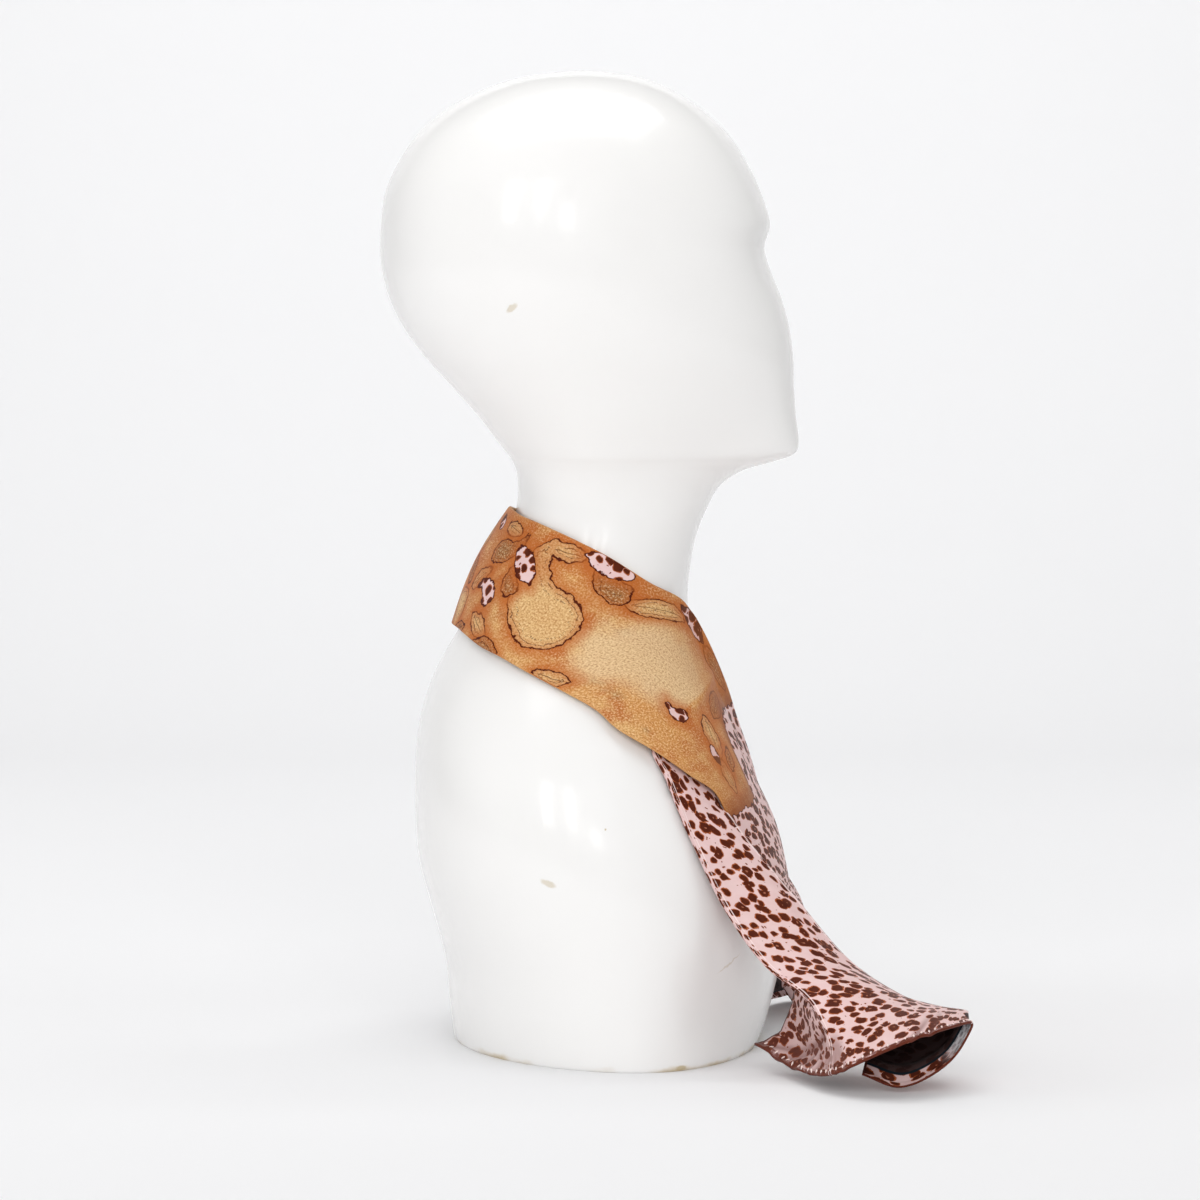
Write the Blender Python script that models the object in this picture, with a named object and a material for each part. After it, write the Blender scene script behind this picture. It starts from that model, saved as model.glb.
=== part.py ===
"""A foulard worn round the neck of a limbless display bust.

The bust looks along +X and stands on the plane z = 0, with the origin at the centre of its flat underside.
The wearer's right side is -Y. The foulard is one oblong of cloth folded in three along its length. It goes
round the nape, its two bands cross on the chest, right over left, and each end opens out into a tail.
Lengths are in millimetres here and become metres when a mesh is made.
"""

import bmesh
import bpy
import numpy as np

MM = 0.001

# Bust sizes
BUST_RING_POINTS = 44
BUST_HEIGHT = 502.0
CROWN_RISE = 0.8
SHARP_ANGLE = 50.0
FACE_FOCUS = 4.0

# Cloth sizes
BAND_THICKNESS = 2.4
BAND_ROWS = 27
BAND_COLUMNS = 11
BAND_LIP = 0.75
BAND_GROOVE = 0.55
TAIL_THICKNESS = 1.1
TAIL_ROWS = 21
SEAM_GAP = 0.3
LAYER_PITCH = 1.45
LAYER_GAP = 0.4
FOLDED_SHARE = 0.8
FRONT_COLUMNS = 10
FOLD_STEPS = 5
FOLD_SHARE = 0.2
SIDE_STEPS = 8
HEM_BEAD = 1.7
HEM_WIDTH = 3.0
HEM_ROW_LENGTH = 20.0
FLOOR_CLEARANCE = 1.1
UP_AND_FORWARD = (0.3, 0.0, 1.0)

# One row for each level of the bust: height, back, front, place of the widest line, half width,
# the roundness of the back and front halves (2 is an ellipse, more is squarer), and where the front would
# be without the brow and chin, which stand out or in at the middle of the face alone
BUST_LEVELS = [
    (0.0, -77.5, 77.5, 14.0, 119.0, 1.80, 2.00, 77.5),
    (2.0, -79.5, 79.5, 14.0, 121.5, 1.80, 2.00, 79.5),
    (20.0, -82.0, 85.5, 12.0, 124.0, 1.85, 2.00, 85.5),
    (45.0, -84.5, 91.0, 9.0, 127.0, 1.95, 2.05, 91.0),
    (70.0, -91.0, 92.0, 5.0, 129.0, 2.10, 2.10, 92.0),
    (95.0, -97.5, 88.0, 0.0, 129.0, 2.20, 2.10, 88.0),
    (120.0, -99.5, 78.5, -5.0, 126.0, 2.25, 2.10, 78.5),
    (145.0, -99.5, 68.0, -9.0, 118.0, 2.25, 2.05, 68.0),
    (168.0, -97.0, 58.0, -12.0, 105.0, 2.20, 2.00, 58.0),
    (188.0, -91.0, 51.0, -14.0, 92.0, 2.10, 2.00, 51.0),
    (203.0, -83.5, 46.0, -13.0, 81.0, 2.00, 2.00, 46.0),
    (217.0, -75.0, 43.0, -11.0, 72.0, 2.00, 2.00, 43.0),
    (232.0, -65.0, 42.0, -8.0, 65.0, 2.00, 2.00, 42.0),
    (248.0, -56.0, 43.5, -4.0, 60.0, 2.00, 2.00, 43.5),
    (264.0, -50.0, 46.8, -1.0, 57.0, 2.00, 2.00, 46.8),
    (278.0, -46.8, 52.5, 0.0, 56.0, 2.00, 2.00, 52.5),
    (288.0, -46.2, 58.5, 0.0, 57.0, 2.00, 1.95, 56.0),
    (296.0, -47.0, 70.0, 0.0, 59.0, 2.00, 1.90, 60.0),
    (301.0, -49.0, 87.0, 0.0, 61.0, 2.00, 1.85, 63.0),
    (305.0, -51.5, 97.5, 0.0, 63.0, 2.00, 1.85, 65.5),
    (312.0, -57.0, 99.5, 0.0, 65.0, 2.00, 1.85, 70.0),
    (325.0, -67.0, 98.0, -2.0, 69.0, 2.00, 1.90, 77.0),
    (340.0, -80.5, 97.0, -6.0, 73.0, 2.05, 1.95, 83.0),
    (355.0, -94.0, 96.5, -10.0, 77.0, 2.10, 2.00, 87.0),
    (370.0, -105.0, 94.5, -14.0, 80.0, 2.10, 2.00, 89.0),
    (385.0, -112.5, 90.5, -18.0, 82.0, 2.10, 2.00, 89.5),
    (400.0, -116.3, 84.5, -20.0, 83.0, 2.10, 2.05, 88.0),
    (412.0, -117.3, 81.5, -21.0, 83.0, 2.10, 2.05, 86.0),
    (424.0, -116.8, 84.3, -21.0, 82.5, 2.10, 2.05, 83.5),
    (440.0, -114.5, 79.5, -20.0, 80.5, 2.10, 2.05, 79.5),
    (455.0, -108.0, 72.5, -18.0, 76.0, 2.10, 2.05, 72.5),
    (470.0, -97.5, 62.5, -16.0, 69.0, 2.10, 2.05, 62.5),
    (483.0, -82.5, 49.0, -14.0, 58.0, 2.00, 2.00, 49.0),
    (493.0, -63.5, 33.0, -13.0, 44.0, 2.00, 2.00, 33.0),
    (499.0, -45.0, 17.0, -13.0, 29.0, 2.00, 2.00, 17.0),
    (502.0, -24.0, -1.0, -12.5, 12.0, 2.00, 2.00, -1.0),
]

# One row for each section of a band: upper edge x, y, z, lower edge x, y, z,
# least distance from the bust to the middle of the cloth, and outward bow
RIGHT_BAND_SECTIONS = [
    (-51.0, 0.0, 277.0, -79.5, 0.0, 219.5, 2.0, 0.5),
    (-45.0, -27.0, 273.5, -75.0, -27.0, 216.0, 2.0, 0.5),
    (-30.0, -49.0, 268.0, -64.0, -56.0, 208.5, 2.0, 1.0),
    (-15.0, -58.5, 261.5, -53.0, -71.0, 204.0, 2.0, 1.0),
    (1.0, -62.0, 253.5, -40.0, -83.0, 199.0, 2.0, 1.0),
    (22.0, -55.0, 240.0, -22.0, -93.0, 191.5, 2.5, 1.0),
    (40.0, -31.0, 228.0, -4.0, -99.5, 181.0, 3.5, 1.0),
    (50.0, -22.0, 213.0, 7.0, -103.5, 170.5, 5.0, 1.0),
    (61.0, -15.0, 188.0, 27.0, -103.0, 158.0, 6.4, 2.0),
    (67.5, -9.0, 168.0, 41.0, -98.0, 147.0, 6.4, 2.0),
    (74.0, -3.0, 151.0, 54.0, -88.0, 137.0, 6.4, 2.0),
    (80.0, 10.0, 134.0, 63.5, -80.0, 122.0, 6.4, 2.0),
    (84.0, 27.0, 112.0, 74.0, -67.0, 105.0, 6.6, 2.0),
]
LEFT_BAND_SECTIONS = [
    (-51.0, 0.0, 277.0, -79.5, 0.0, 219.5, 2.0, 0.5),
    (-45.0, 27.0, 273.5, -75.0, 27.0, 216.0, 2.0, 0.5),
    (-30.0, 49.0, 268.0, -64.0, 56.0, 208.5, 2.0, 1.0),
    (-15.0, 58.5, 261.5, -53.0, 71.0, 204.0, 2.0, 1.0),
    (1.0, 62.0, 253.5, -40.0, 83.0, 199.0, 2.0, 1.0),
    (22.0, 55.0, 240.0, -18.0, 95.0, 190.0, 2.0, 1.0),
    (39.0, 31.0, 227.0, 8.0, 100.0, 176.0, 2.0, 1.0),
    (46.0, 8.0, 214.0, 37.0, 86.0, 160.0, 2.0, 0.5),
    (48.0, -15.0, 203.0, 60.0, 48.0, 148.0, 2.0, 0.0),
    (44.0, -42.0, 192.0, 66.0, 0.0, 142.0, 2.0, 0.0),
    (35.0, -70.0, 179.0, 62.0, -42.0, 141.0, 2.0, 0.0),
    (25.5, -96.3, 162.5, 50.0, -80.7, 147.2, 2.0, 0.0),
]

# One row for each section of a tail: outer fold x, y, z, inner fold x, y, z, bow of the front panel x, y, z,
# and how far the outer and inner side panels stand open (0 folded flat behind, 1 as at the hem)
RIGHT_TAIL_SECTIONS = [
    (25.5, -96.8, 161.9, 49.8, -81.5, 146.7, 0.0, 0.0, 0.0, 0.0, 0.0),
    (32.0, -103.0, 146.0, 55.0, -86.0, 134.0, 0.0, -0.5, 0.3, 0.0, 0.0),
    (37.8, -109.0, 132.0, 63.5, -90.0, 123.5, 0.3, -1.0, 0.5, 0.0, 0.0),
    (44.0, -113.0, 117.0, 71.0, -93.0, 113.0, 0.5, -2.0, 1.0, 0.0, 0.0),
    (59.0, -119.0, 85.5, 94.0, -96.0, 85.5, 1.9, -2.9, 2.0, 0.0, 0.0),
    (80.5, -130.5, 58.0, 121.0, -107.0, 55.0, 2.4, -3.6, 4.0, 0.1, 0.0),
    (97.5, -145.0, 43.0, 148.0, -125.0, 39.0, 2.3, -4.4, 6.5, 0.5, 0.15),
    (104.0, -157.0, 33.5, 164.0, -138.0, 36.0, 1.5, -9.0, 6.5, 0.95, 0.8),
    (106.5, -170.0, 22.0, 175.0, -152.0, 36.0, 0.8, -17.0, 7.0, 1.0, 1.0),
    (106.0, -188.0, 8.0, 177.5, -168.0, 33.5, 0.0, -25.0, 7.0, 1.0, 1.0),
]
LEFT_TAIL_SECTIONS = [
    (84.0, 26.8, 111.5, 74.0, -66.7, 104.7, 1.5, 0.0, 0.5, 0.0, 0.0),
    (89.0, 42.0, 92.0, 88.0, -44.0, 88.0, 4.0, 0.0, 2.0, 0.0, 0.0),
    (91.0, 66.0, 70.0, 99.0, -14.0, 73.0, 6.0, 0.0, 4.0, 0.0, 0.0),
    (93.0, 88.0, 50.0, 105.0, 20.0, 60.0, 5.0, 0.0, 4.0, 0.2, 0.0),
    (95.0, 105.0, 33.0, 112.0, 52.0, 46.0, 4.0, 0.0, 6.0, 0.8, 0.1),
    (98.0, 120.0, 15.0, 125.0, 82.0, 32.0, 3.0, 0.0, 8.0, 1.0, 0.6),
    (101.0, 132.0, 3.0, 143.0, 103.0, 18.0, 2.0, 2.0, 8.0, 1.0, 1.0),
]

# How a side panel of a tail stands open: the section, then the way from its fold to a third, two thirds
# and the whole of the panel, each as x, y, z
RIGHT_OUTER_OPENING = [
    (7.0, -5.0, 14.0, -1.0, -8.0, 29.0, 2.0, -8.0, 44.0, 6.0),
    (8.0, -8.0, 19.0, -1.0, -13.0, 38.0, 2.0, -15.3, 57.0, 8.0),
    (8.5, -9.5, 21.0, -0.5, -18.0, 42.0, 2.5, -20.0, 63.6, 4.7),
    (9.0, -11.5, 23.0, -0.1, -22.3, 47.0, 3.6, -32.9, 70.0, 7.3),
]
RIGHT_INNER_OPENING = [
    (7.0, -12.0, -3.0, -13.0, -30.0, -3.0, -19.0, -47.0, 2.0, -17.0),
    (8.0, -13.0, -6.0, -17.0, -33.0, -8.0, -25.0, -52.0, -2.0, -22.0),
    (8.5, -12.5, -8.0, -18.0, -33.0, -12.0, -28.0, -53.0, -5.0, -24.0),
    (9.0, -11.5, -9.5, -19.3, -33.0, -15.0, -31.0, -53.7, -8.0, -25.4),
]
LEFT_OUTER_OPENING = [
    (4.0, -8.0, -12.0, 0.0, -15.0, -24.0, 0.0, -21.0, -35.0, 0.0),
    (5.0, -8.0, -12.0, -1.0, -16.0, -24.0, -2.0, -24.0, -34.0, -3.0),
    (6.0, -7.0, -12.0, 0.5, -15.0, -24.0, 0.5, -24.0, -35.0, 1.0),
]
LEFT_INNER_OPENING = [
    (4.0, -6.0, 2.0, -7.0, -14.0, 5.0, -11.0, -22.0, 9.0, -12.0),
    (5.0, -8.0, 2.0, -9.0, -19.0, 5.0, -14.0, -31.0, 9.0, -14.0),
    (6.0, -9.0, 2.0, -9.0, -23.0, 5.0, -13.5, -38.0, 9.0, -11.0),
]


def smooth_rows(rows, places):
    """Values on a smooth curve through the rows; a place counts rows from the first."""
    table = np.asarray(rows, float)
    places = np.atleast_1d(np.asarray(places, float))
    last = len(table) - 1
    index = np.clip(np.floor(places).astype(int), 0, last - 1)
    part = (places - index)[:, None]
    here, after = table[index], table[index + 1]
    before = np.where((index > 0)[:, None], table[np.maximum(index - 1, 0)], 2 * here - after)
    beyond = np.where((index < last - 1)[:, None], table[np.minimum(index + 2, last)], 2 * after - here)
    linear = (after - before) * part
    square = (2 * before - 5 * here + 4 * after - beyond) * part**2
    cubic = (3 * here - before - 3 * after + beyond) * part**3
    return 0.5 * (2 * here + linear + square + cubic)


# The bust's levels, read closely for measuring distances to it
FINE_LEVELS = smooth_rows(BUST_LEVELS, np.linspace(0, len(BUST_LEVELS) - 1, 1400))


def level_at(height):
    """Back, front, widest place, half width and the two roundnesses at a height."""
    return [np.interp(height, FINE_LEVELS[:, 0], FINE_LEVELS[:, k]) for k in range(1, 7)]


def bust_excess(points):
    """How far outside the bust each point is, as a share of the bust's size there."""
    back, front, widest, half, round_back, round_front = level_at(points[:, 2])
    along = points[:, 0] - widest
    reach = np.where(along > 0, front - widest, widest - back)
    power = np.where(along > 0, round_front, round_back)
    return (np.abs(along / reach) ** power + np.abs(points[:, 1] / half) ** power) ** (1 / power) - 1


def bust_slope(points):
    """Change of the excess along x, y and z, for each point."""
    slope = np.zeros_like(points)
    for axis in range(3):
        step = np.zeros(3)
        step[axis] = 0.5
        slope[:, axis] = bust_excess(points + step) - bust_excess(points - step)
    return slope


def stand_off(points, gap):
    """Moves points that are closer to the bust than the gap straight out to it."""
    shape = points.shape
    points = points.reshape(-1, 3).copy()
    gap = np.broadcast_to(gap, shape[:-1]).reshape(-1)
    for _ in range(12):
        slope = bust_slope(points)
        steepness = np.maximum(np.linalg.norm(slope, axis=1), 1e-9)
        short = np.maximum(gap - bust_excess(points) / steepness, 0.0)
        points += slope / steepness[:, None] * short[:, None]
    return points.reshape(shape)


def unit(vectors):
    """Vectors scaled to length 1."""
    return vectors / np.maximum(np.linalg.norm(vectors, axis=-1, keepdims=True), 1e-9)


def direction(grid, axis):
    """Direction of a grid's lines at each point, halfway between the stretches before and after it."""
    steps = unit(np.diff(grid, axis=axis))
    before = np.concatenate([np.take(steps, [0], axis=axis), steps], axis=axis)
    after = np.concatenate([steps, np.take(steps, [-1], axis=axis)], axis=axis)
    return unit(before + after)


def grid_normals(grid):
    """Normals of a grid of points, one row for each section."""
    return unit(np.cross(direction(grid, 1), direction(grid, 0)))


def rest_on(points, cloth, gap):
    """Moves points out until they lie at least the gap outside the grid of another cloth."""
    normals = grid_normals(cloth)
    outward = bust_slope(cloth.reshape(-1, 3))
    flat_cloth = cloth.reshape(-1, 3)
    flat_normals = normals.reshape(-1, 3)
    facing = np.sign(np.sum(outward * flat_normals, axis=1, keepdims=True))
    flat_normals = flat_normals * facing
    moved = points.reshape(-1, 3).copy()
    for _ in range(6):
        offset = moved[:, None, :] - flat_cloth[None, :, :]
        nearest = np.argmin(np.sum(offset**2, axis=2), axis=1)
        away = offset[np.arange(len(moved)), nearest]
        normal = flat_normals[nearest]
        height = np.sum(away * normal, axis=1)
        sideways = np.linalg.norm(away - height[:, None] * normal, axis=1)
        near = sideways < 4.0
        short = np.where(near, np.maximum(gap - height, 0.0), 0.0)
        moved += normal * short[:, None]
    return moved.reshape(points.shape)


def band_grid(sections, rows):
    """Middle surface of a band, from its upper edge to its lower edge at each section."""
    table = smooth_rows(sections, np.linspace(0.0, len(sections) - 1, rows))
    upper, lower, lift, bow = table[:, 0:3], table[:, 3:6], table[:, 6], table[:, 7]
    across = np.linspace(0.0, 1.0, BAND_COLUMNS)[None, :, None]
    grid = upper[:, None, :] * (1 - across) + lower[:, None, :] * across
    outward = unit(bust_slope(grid.reshape(-1, 3))).reshape(grid.shape)
    grid = grid + outward * (4 * across * (1 - across) * bow[:, None, None])
    return stand_off(grid, np.repeat(lift[:, None], BAND_COLUMNS, axis=1))


def front_panel(table):
    """Front panel of a tail, bowed outward between its outer and inner folds, and its outward direction."""
    outer, inner, bow = table[:, 0:3], table[:, 3:6], table[:, 6:9]
    along = unit(np.gradient((outer + inner) / 2, axis=0))
    out = unit(np.cross(unit(inner - outer), along))
    out *= np.where(np.sum(out * UP_AND_FORWARD, axis=1, keepdims=True) < 0, -1.0, 1.0)
    share = np.linspace(0.0, 1.0, FRONT_COLUMNS)[None, :, None]
    grid = outer[:, None, :] * (1 - share) + inner[:, None, :] * share
    grid = grid + bow[:, None, :] * np.sin(np.pi * share)
    return stand_off(grid, 2 * LAYER_PITCH + TAIL_THICKNESS), out


def folded_panel(front, out, side, depth):
    """Points of a side panel that is folded flat behind the front panel, from its fold to its free edge."""
    normals = grid_normals(front)
    normals *= np.where(np.sum(normals * out[:, None, :], axis=2, keepdims=True) < 0, -1.0, 1.0)
    edge, next_to_it = (0, 1) if side == "outer" else (-1, -2)
    beyond = front[:, edge] - front[:, next_to_it]
    fold_line = direction(front[:, edge], 0)
    beyond = unit(beyond - fold_line * np.sum(beyond * fold_line, axis=1, keepdims=True))
    columns = []
    for k in range(FOLD_STEPS + SIDE_STEPS + 1):
        turn = np.pi * min(k / FOLD_STEPS, 1.0)
        inward = max(k - FOLD_STEPS, 0) / SIDE_STEPS * FOLDED_SHARE * (FRONT_COLUMNS - 1)
        place = inward if side == "outer" else FRONT_COLUMNS - 1 - inward
        low = min(int(place), FRONT_COLUMNS - 2)
        part = place - low
        base = front[:, low] * (1 - part) + front[:, low + 1] * part
        normal = unit(normals[:, low] * (1 - part) + normals[:, low + 1] * part)
        round_fold = depth / 2 * np.sin(turn)
        columns.append(base + beyond * round_fold - normal * (depth / 2 * (1 - np.cos(turn))))
    return np.stack(columns, axis=1)


def open_panel(fold_line, places, opening):
    """Points of a side panel that stands open, from its fold to its free edge."""
    near_fold = np.linspace(0.0, FOLD_SHARE, FOLD_STEPS + 1)
    beyond = np.linspace(FOLD_SHARE, 1.0, SIDE_STEPS + 1)
    shares = np.concatenate([near_fold, beyond[1:]])
    opening = np.array(opening)
    rows = []
    for fold, place in zip(fold_line, places):
        ways = [np.interp(place, opening[:, 0], opening[:, column]) for column in range(1, 10)]
        ways = np.concatenate([np.zeros((1, 3)), np.reshape(ways, (3, 3))])
        rows.append(fold + smooth_rows(ways, 3 * shares))
    return np.array(rows)


def tail_grid(sections, outer_opening, inner_opening, places):
    """Middle surface of a tail, from the free edge of its outer side panel round to the inner one."""
    table = smooth_rows(sections, places)
    front, out = front_panel(table)
    panels = []
    for side, edge, layers, opening, share in (
        ("outer", 0, 2, outer_opening, table[:, 9]),
        ("inner", -1, 1, inner_opening, table[:, 10]),
    ):
        folded = folded_panel(front, out, side, layers * LAYER_PITCH)
        standing = open_panel(front[:, edge], places, opening)
        share = np.clip(share, 0.0, 1.0)[:, None, None]
        panels.append(folded * (1 - share) + standing * share)
    outer, inner = panels
    grid = np.concatenate([outer[:, :0:-1], front, inner[:, 1:]], axis=1)
    grid = stand_off(grid, TAIL_THICKNESS)
    grid[:, :, 2] = np.maximum(grid[:, :, 2], FLOOR_CLEARANCE)
    return grid


def hem_places(sections):
    """Places of a tail's sections, close together at the hem, and the half thickness at each."""
    last = len(sections) - 1
    width = HEM_WIDTH / HEM_ROW_LENGTH
    plain = np.linspace(0.0, last - 1.6 * width, TAIL_ROWS)
    hem = [last - width, last - 0.85 * width, last - 0.15 * width, last]
    half = [TAIL_THICKNESS / 2] * (TAIL_ROWS + 1) + [HEM_BEAD / 2, HEM_BEAD / 2, TAIL_THICKNESS / 2]
    return np.concatenate([plain, hem]), np.array(half)


def shell_mesh(grid, half):
    """Points and faces of a closed wall round a grid, with its half thickness for each row."""
    rows, columns = grid.shape[:2]
    offset = grid_normals(grid) * half[:, None, None]
    points = np.concatenate([(grid + offset).reshape(-1, 3), (grid - offset).reshape(-1, 3)])
    inner = rows * columns
    faces = []
    for i in range(rows - 1):
        for j in range(columns - 1):
            a = i * columns + j
            quad = (a, a + 1, a + 1 + columns, a + columns)
            faces.append(quad)
            faces.append(tuple(inner + k for k in reversed(quad)))
    border = [j for j in range(columns)]
    border += [i * columns + columns - 1 for i in range(1, rows)]
    border += [(rows - 1) * columns + j for j in range(columns - 2, -1, -1)]
    border += [i * columns for i in range(rows - 2, 0, -1)]
    for k, a in enumerate(border):
        b = border[(k + 1) % len(border)]
        faces.append((b, a, inner + a, inner + b))
    return points, faces


def band_mesh(grid):
    """Points and faces of a band of three layers, rounded and grooved along both edges."""
    rows = len(grid)
    normals = grid_normals(grid)
    half = BAND_THICKNESS / 2
    thick = np.full(BAND_COLUMNS, half)
    thick[0] = thick[-1] = 0.85 * half
    outer = grid + normals * thick[None, :, None]
    inner = grid - normals * thick[None, :, None]
    edges = []
    for last, before in ((-1, -2), (0, 1)):
        away = unit(grid[:, last] - grid[:, before])
        lip = grid[:, last] + away * BAND_LIP
        groove = grid[:, last] + away * (BAND_LIP - BAND_GROOVE)
        raised = normals[:, last] * 0.5 * half
        edges.append((lip + raised, groove, lip - raised))
    lower, upper = edges
    rings = np.concatenate(
        [outer, np.stack(lower, axis=1), inner[:, ::-1], np.stack(upper[::-1], axis=1)], axis=1
    )
    rings[0, :, 1] = np.sign(grid[1, 0, 1]) * SEAM_GAP / 2
    count = rings.shape[1]
    faces = []
    for i in range(rows - 1):
        for j in range(count):
            k = (j + 1) % count
            faces.append((i * count + j, i * count + k, (i + 1) * count + k, (i + 1) * count + j))
    last = BAND_COLUMNS - 1
    for i, turned in ((0, True), (rows - 1, False)):
        ends = [(j, j + 1, 2 * last + 3 - j, 2 * last + 4 - j) for j in range(last)]
        ends += [(last, last + 1, last + 2), (last + 2, last + 3, last + 4), (last, last + 2, last + 4)]
        first = 2 * BAND_COLUMNS + 3
        ends += [(first - 1, first, first + 1), (first + 1, first + 2, 0), (first - 1, first + 1, 0)]
        for end in ends:
            face = tuple(i * count + j for j in end)
            faces.append(face[::-1] if turned else face)
    return rings.reshape(-1, 3), faces


def bust_mesh():
    """Points and faces of the bust, lofted through its levels and closed at the underside and crown."""
    levels = smooth_rows(BUST_LEVELS, np.arange(len(BUST_LEVELS)))
    angle = np.linspace(0.0, 2 * np.pi, BUST_RING_POINTS, endpoint=False)
    cosine, sine = np.cos(angle), np.sin(angle)
    rings = []
    facing = np.maximum(cosine, 0.0) ** FACE_FOCUS
    for height, back, front, widest, half, round_back, round_front, plain_front in levels:
        ahead = plain_front + (front - plain_front) * facing
        reach = np.where(cosine > 0, ahead - widest, widest - back)
        power = 2 / np.where(cosine > 0, round_front, round_back)
        x = widest + reach * np.sign(cosine) * np.abs(cosine) ** power
        y = half * np.sign(sine) * np.abs(sine) ** power
        rings.append(np.stack([x, y, np.full_like(x, height)], axis=1))
    count = BUST_RING_POINTS
    faces = []
    for i in range(len(rings) - 1):
        for j in range(count):
            k = (j + 1) % count
            faces.append((i * count + j, i * count + k, (i + 1) * count + k, (i + 1) * count + j))
    faces.append(tuple(reversed(range(count))))
    top = (len(rings) - 1) * count
    crown = len(rings) * count
    for j in range(count):
        faces.append((top + j, top + (j + 1) % count, crown))
    peak = np.array([[-12.5, 0.0, BUST_HEIGHT + CROWN_RISE]])
    return np.concatenate(rings + [peak]), faces


def make_object(name, points, faces, material, collection):
    """A named mesh object in the part's collection, with its faces turned outward."""
    mesh = bpy.data.meshes.new(name)
    mesh.from_pydata((points * MM).tolist(), [], faces)
    mesh.update()
    shape = bmesh.new()
    shape.from_mesh(mesh)
    bmesh.ops.triangulate(shape, faces=[f for f in shape.faces if len(f.verts) == 4])
    bmesh.ops.recalc_face_normals(shape, faces=shape.faces)
    if shape.calc_volume(signed=True) < 0:
        bmesh.ops.reverse_faces(shape, faces=shape.faces)
    shape.to_mesh(mesh)
    shape.free()
    mesh.shade_smooth()
    mesh.set_sharp_from_angle(angle=np.radians(SHARP_ANGLE))
    mesh.materials.append(material)
    item = bpy.data.objects.new(name, mesh)
    collection.objects.link(item)
    return item


def cloth_grids():
    """The middle surfaces of the four stretches of cloth, each resting on what lies under it."""
    band_left = band_grid(LEFT_BAND_SECTIONS, BAND_ROWS)
    right_places, right_half = hem_places(RIGHT_TAIL_SECTIONS)
    tail_right = tail_grid(RIGHT_TAIL_SECTIONS, RIGHT_OUTER_OPENING, RIGHT_INNER_OPENING, right_places)
    band_right = band_grid(RIGHT_BAND_SECTIONS, BAND_ROWS)
    clearance = BAND_THICKNESS + LAYER_GAP
    under_band = band_grid(LEFT_BAND_SECTIONS, 3 * BAND_ROWS)
    band_right[8:] = rest_on(band_right[8:], under_band[12:], clearance)
    left_places, left_half = hem_places(LEFT_TAIL_SECTIONS)
    tail_left = tail_grid(LEFT_TAIL_SECTIONS, LEFT_OUTER_OPENING, LEFT_INNER_OPENING, left_places)
    return band_left, band_right, (tail_right, right_half), (tail_left, left_half)


def main():
    """Builds the bust and the four stretches of the foulard."""
    for item in list(bpy.data.objects):
        bpy.data.objects.remove(item, do_unlink=True)
    collection = bpy.data.collections.new("foulard_on_display_bust")
    bpy.context.scene.collection.children.link(collection)
    materials = build_materials()
    band_left, band_right, tail_right, tail_left = cloth_grids()
    pieces = {
        "bust": bust_mesh(),
        "band_left": band_mesh(band_left),
        "band_right": band_mesh(band_right),
        "tail_right": shell_mesh(*tail_right),
        "tail_left": shell_mesh(*tail_left),
    }
    for name, (points, faces) in pieces.items():
        make_object(name, points, faces, materials[name], collection)


def build_materials():
    """One plain material for each sub-part: colour, roughness and metallic value."""
    looks = {
        "bust": ((0.86, 0.86, 0.85), 0.18),
        "band_right": ((0.55, 0.30, 0.12), 0.50),
        "band_left": ((0.55, 0.30, 0.12), 0.50),
        "tail_right": ((0.72, 0.52, 0.48), 0.50),
        "tail_left": ((0.72, 0.52, 0.48), 0.50),
    }
    materials = {}
    for name, (colour, roughness) in looks.items():
        material = bpy.data.materials.new(name)
        material.use_nodes = True
        shader = material.node_tree.nodes["Principled BSDF"]
        shader.inputs["Base Color"].default_value = (*colour, 1.0)
        shader.inputs["Roughness"].default_value = roughness
        shader.inputs["Metallic"].default_value = 0.0
        materials[name] = material
    return materials


main()
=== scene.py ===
import math

import bpy
import numpy as np
from mathutils import Matrix, Vector


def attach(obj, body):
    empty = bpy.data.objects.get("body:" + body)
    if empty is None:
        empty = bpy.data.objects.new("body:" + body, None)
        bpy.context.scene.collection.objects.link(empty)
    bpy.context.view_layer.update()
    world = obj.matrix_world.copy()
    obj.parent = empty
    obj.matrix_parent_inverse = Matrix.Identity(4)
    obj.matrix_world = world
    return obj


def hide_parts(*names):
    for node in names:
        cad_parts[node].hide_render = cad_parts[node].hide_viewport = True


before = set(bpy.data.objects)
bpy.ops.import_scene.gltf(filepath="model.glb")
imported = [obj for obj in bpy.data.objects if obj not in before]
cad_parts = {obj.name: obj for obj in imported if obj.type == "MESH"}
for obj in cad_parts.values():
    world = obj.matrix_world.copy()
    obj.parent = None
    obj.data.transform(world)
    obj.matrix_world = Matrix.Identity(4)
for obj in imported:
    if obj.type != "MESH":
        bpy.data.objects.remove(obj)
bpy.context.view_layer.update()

# The display bust
# One hollow moulding of white plastic with a glossy coat: head, neck, shoulders and chest, cut flat where
# it stands. It is lofted through its levels from the underside to the crown.
MM = 0.001
BUST_SEGMENTS = 144
BUST_RINGS = 190
BUST_TOP = 502.8
CROWN_PLACE = -12.5
UNDERSIDE_INSET = 0.97
FACE_FOCUS = 4.0

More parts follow.
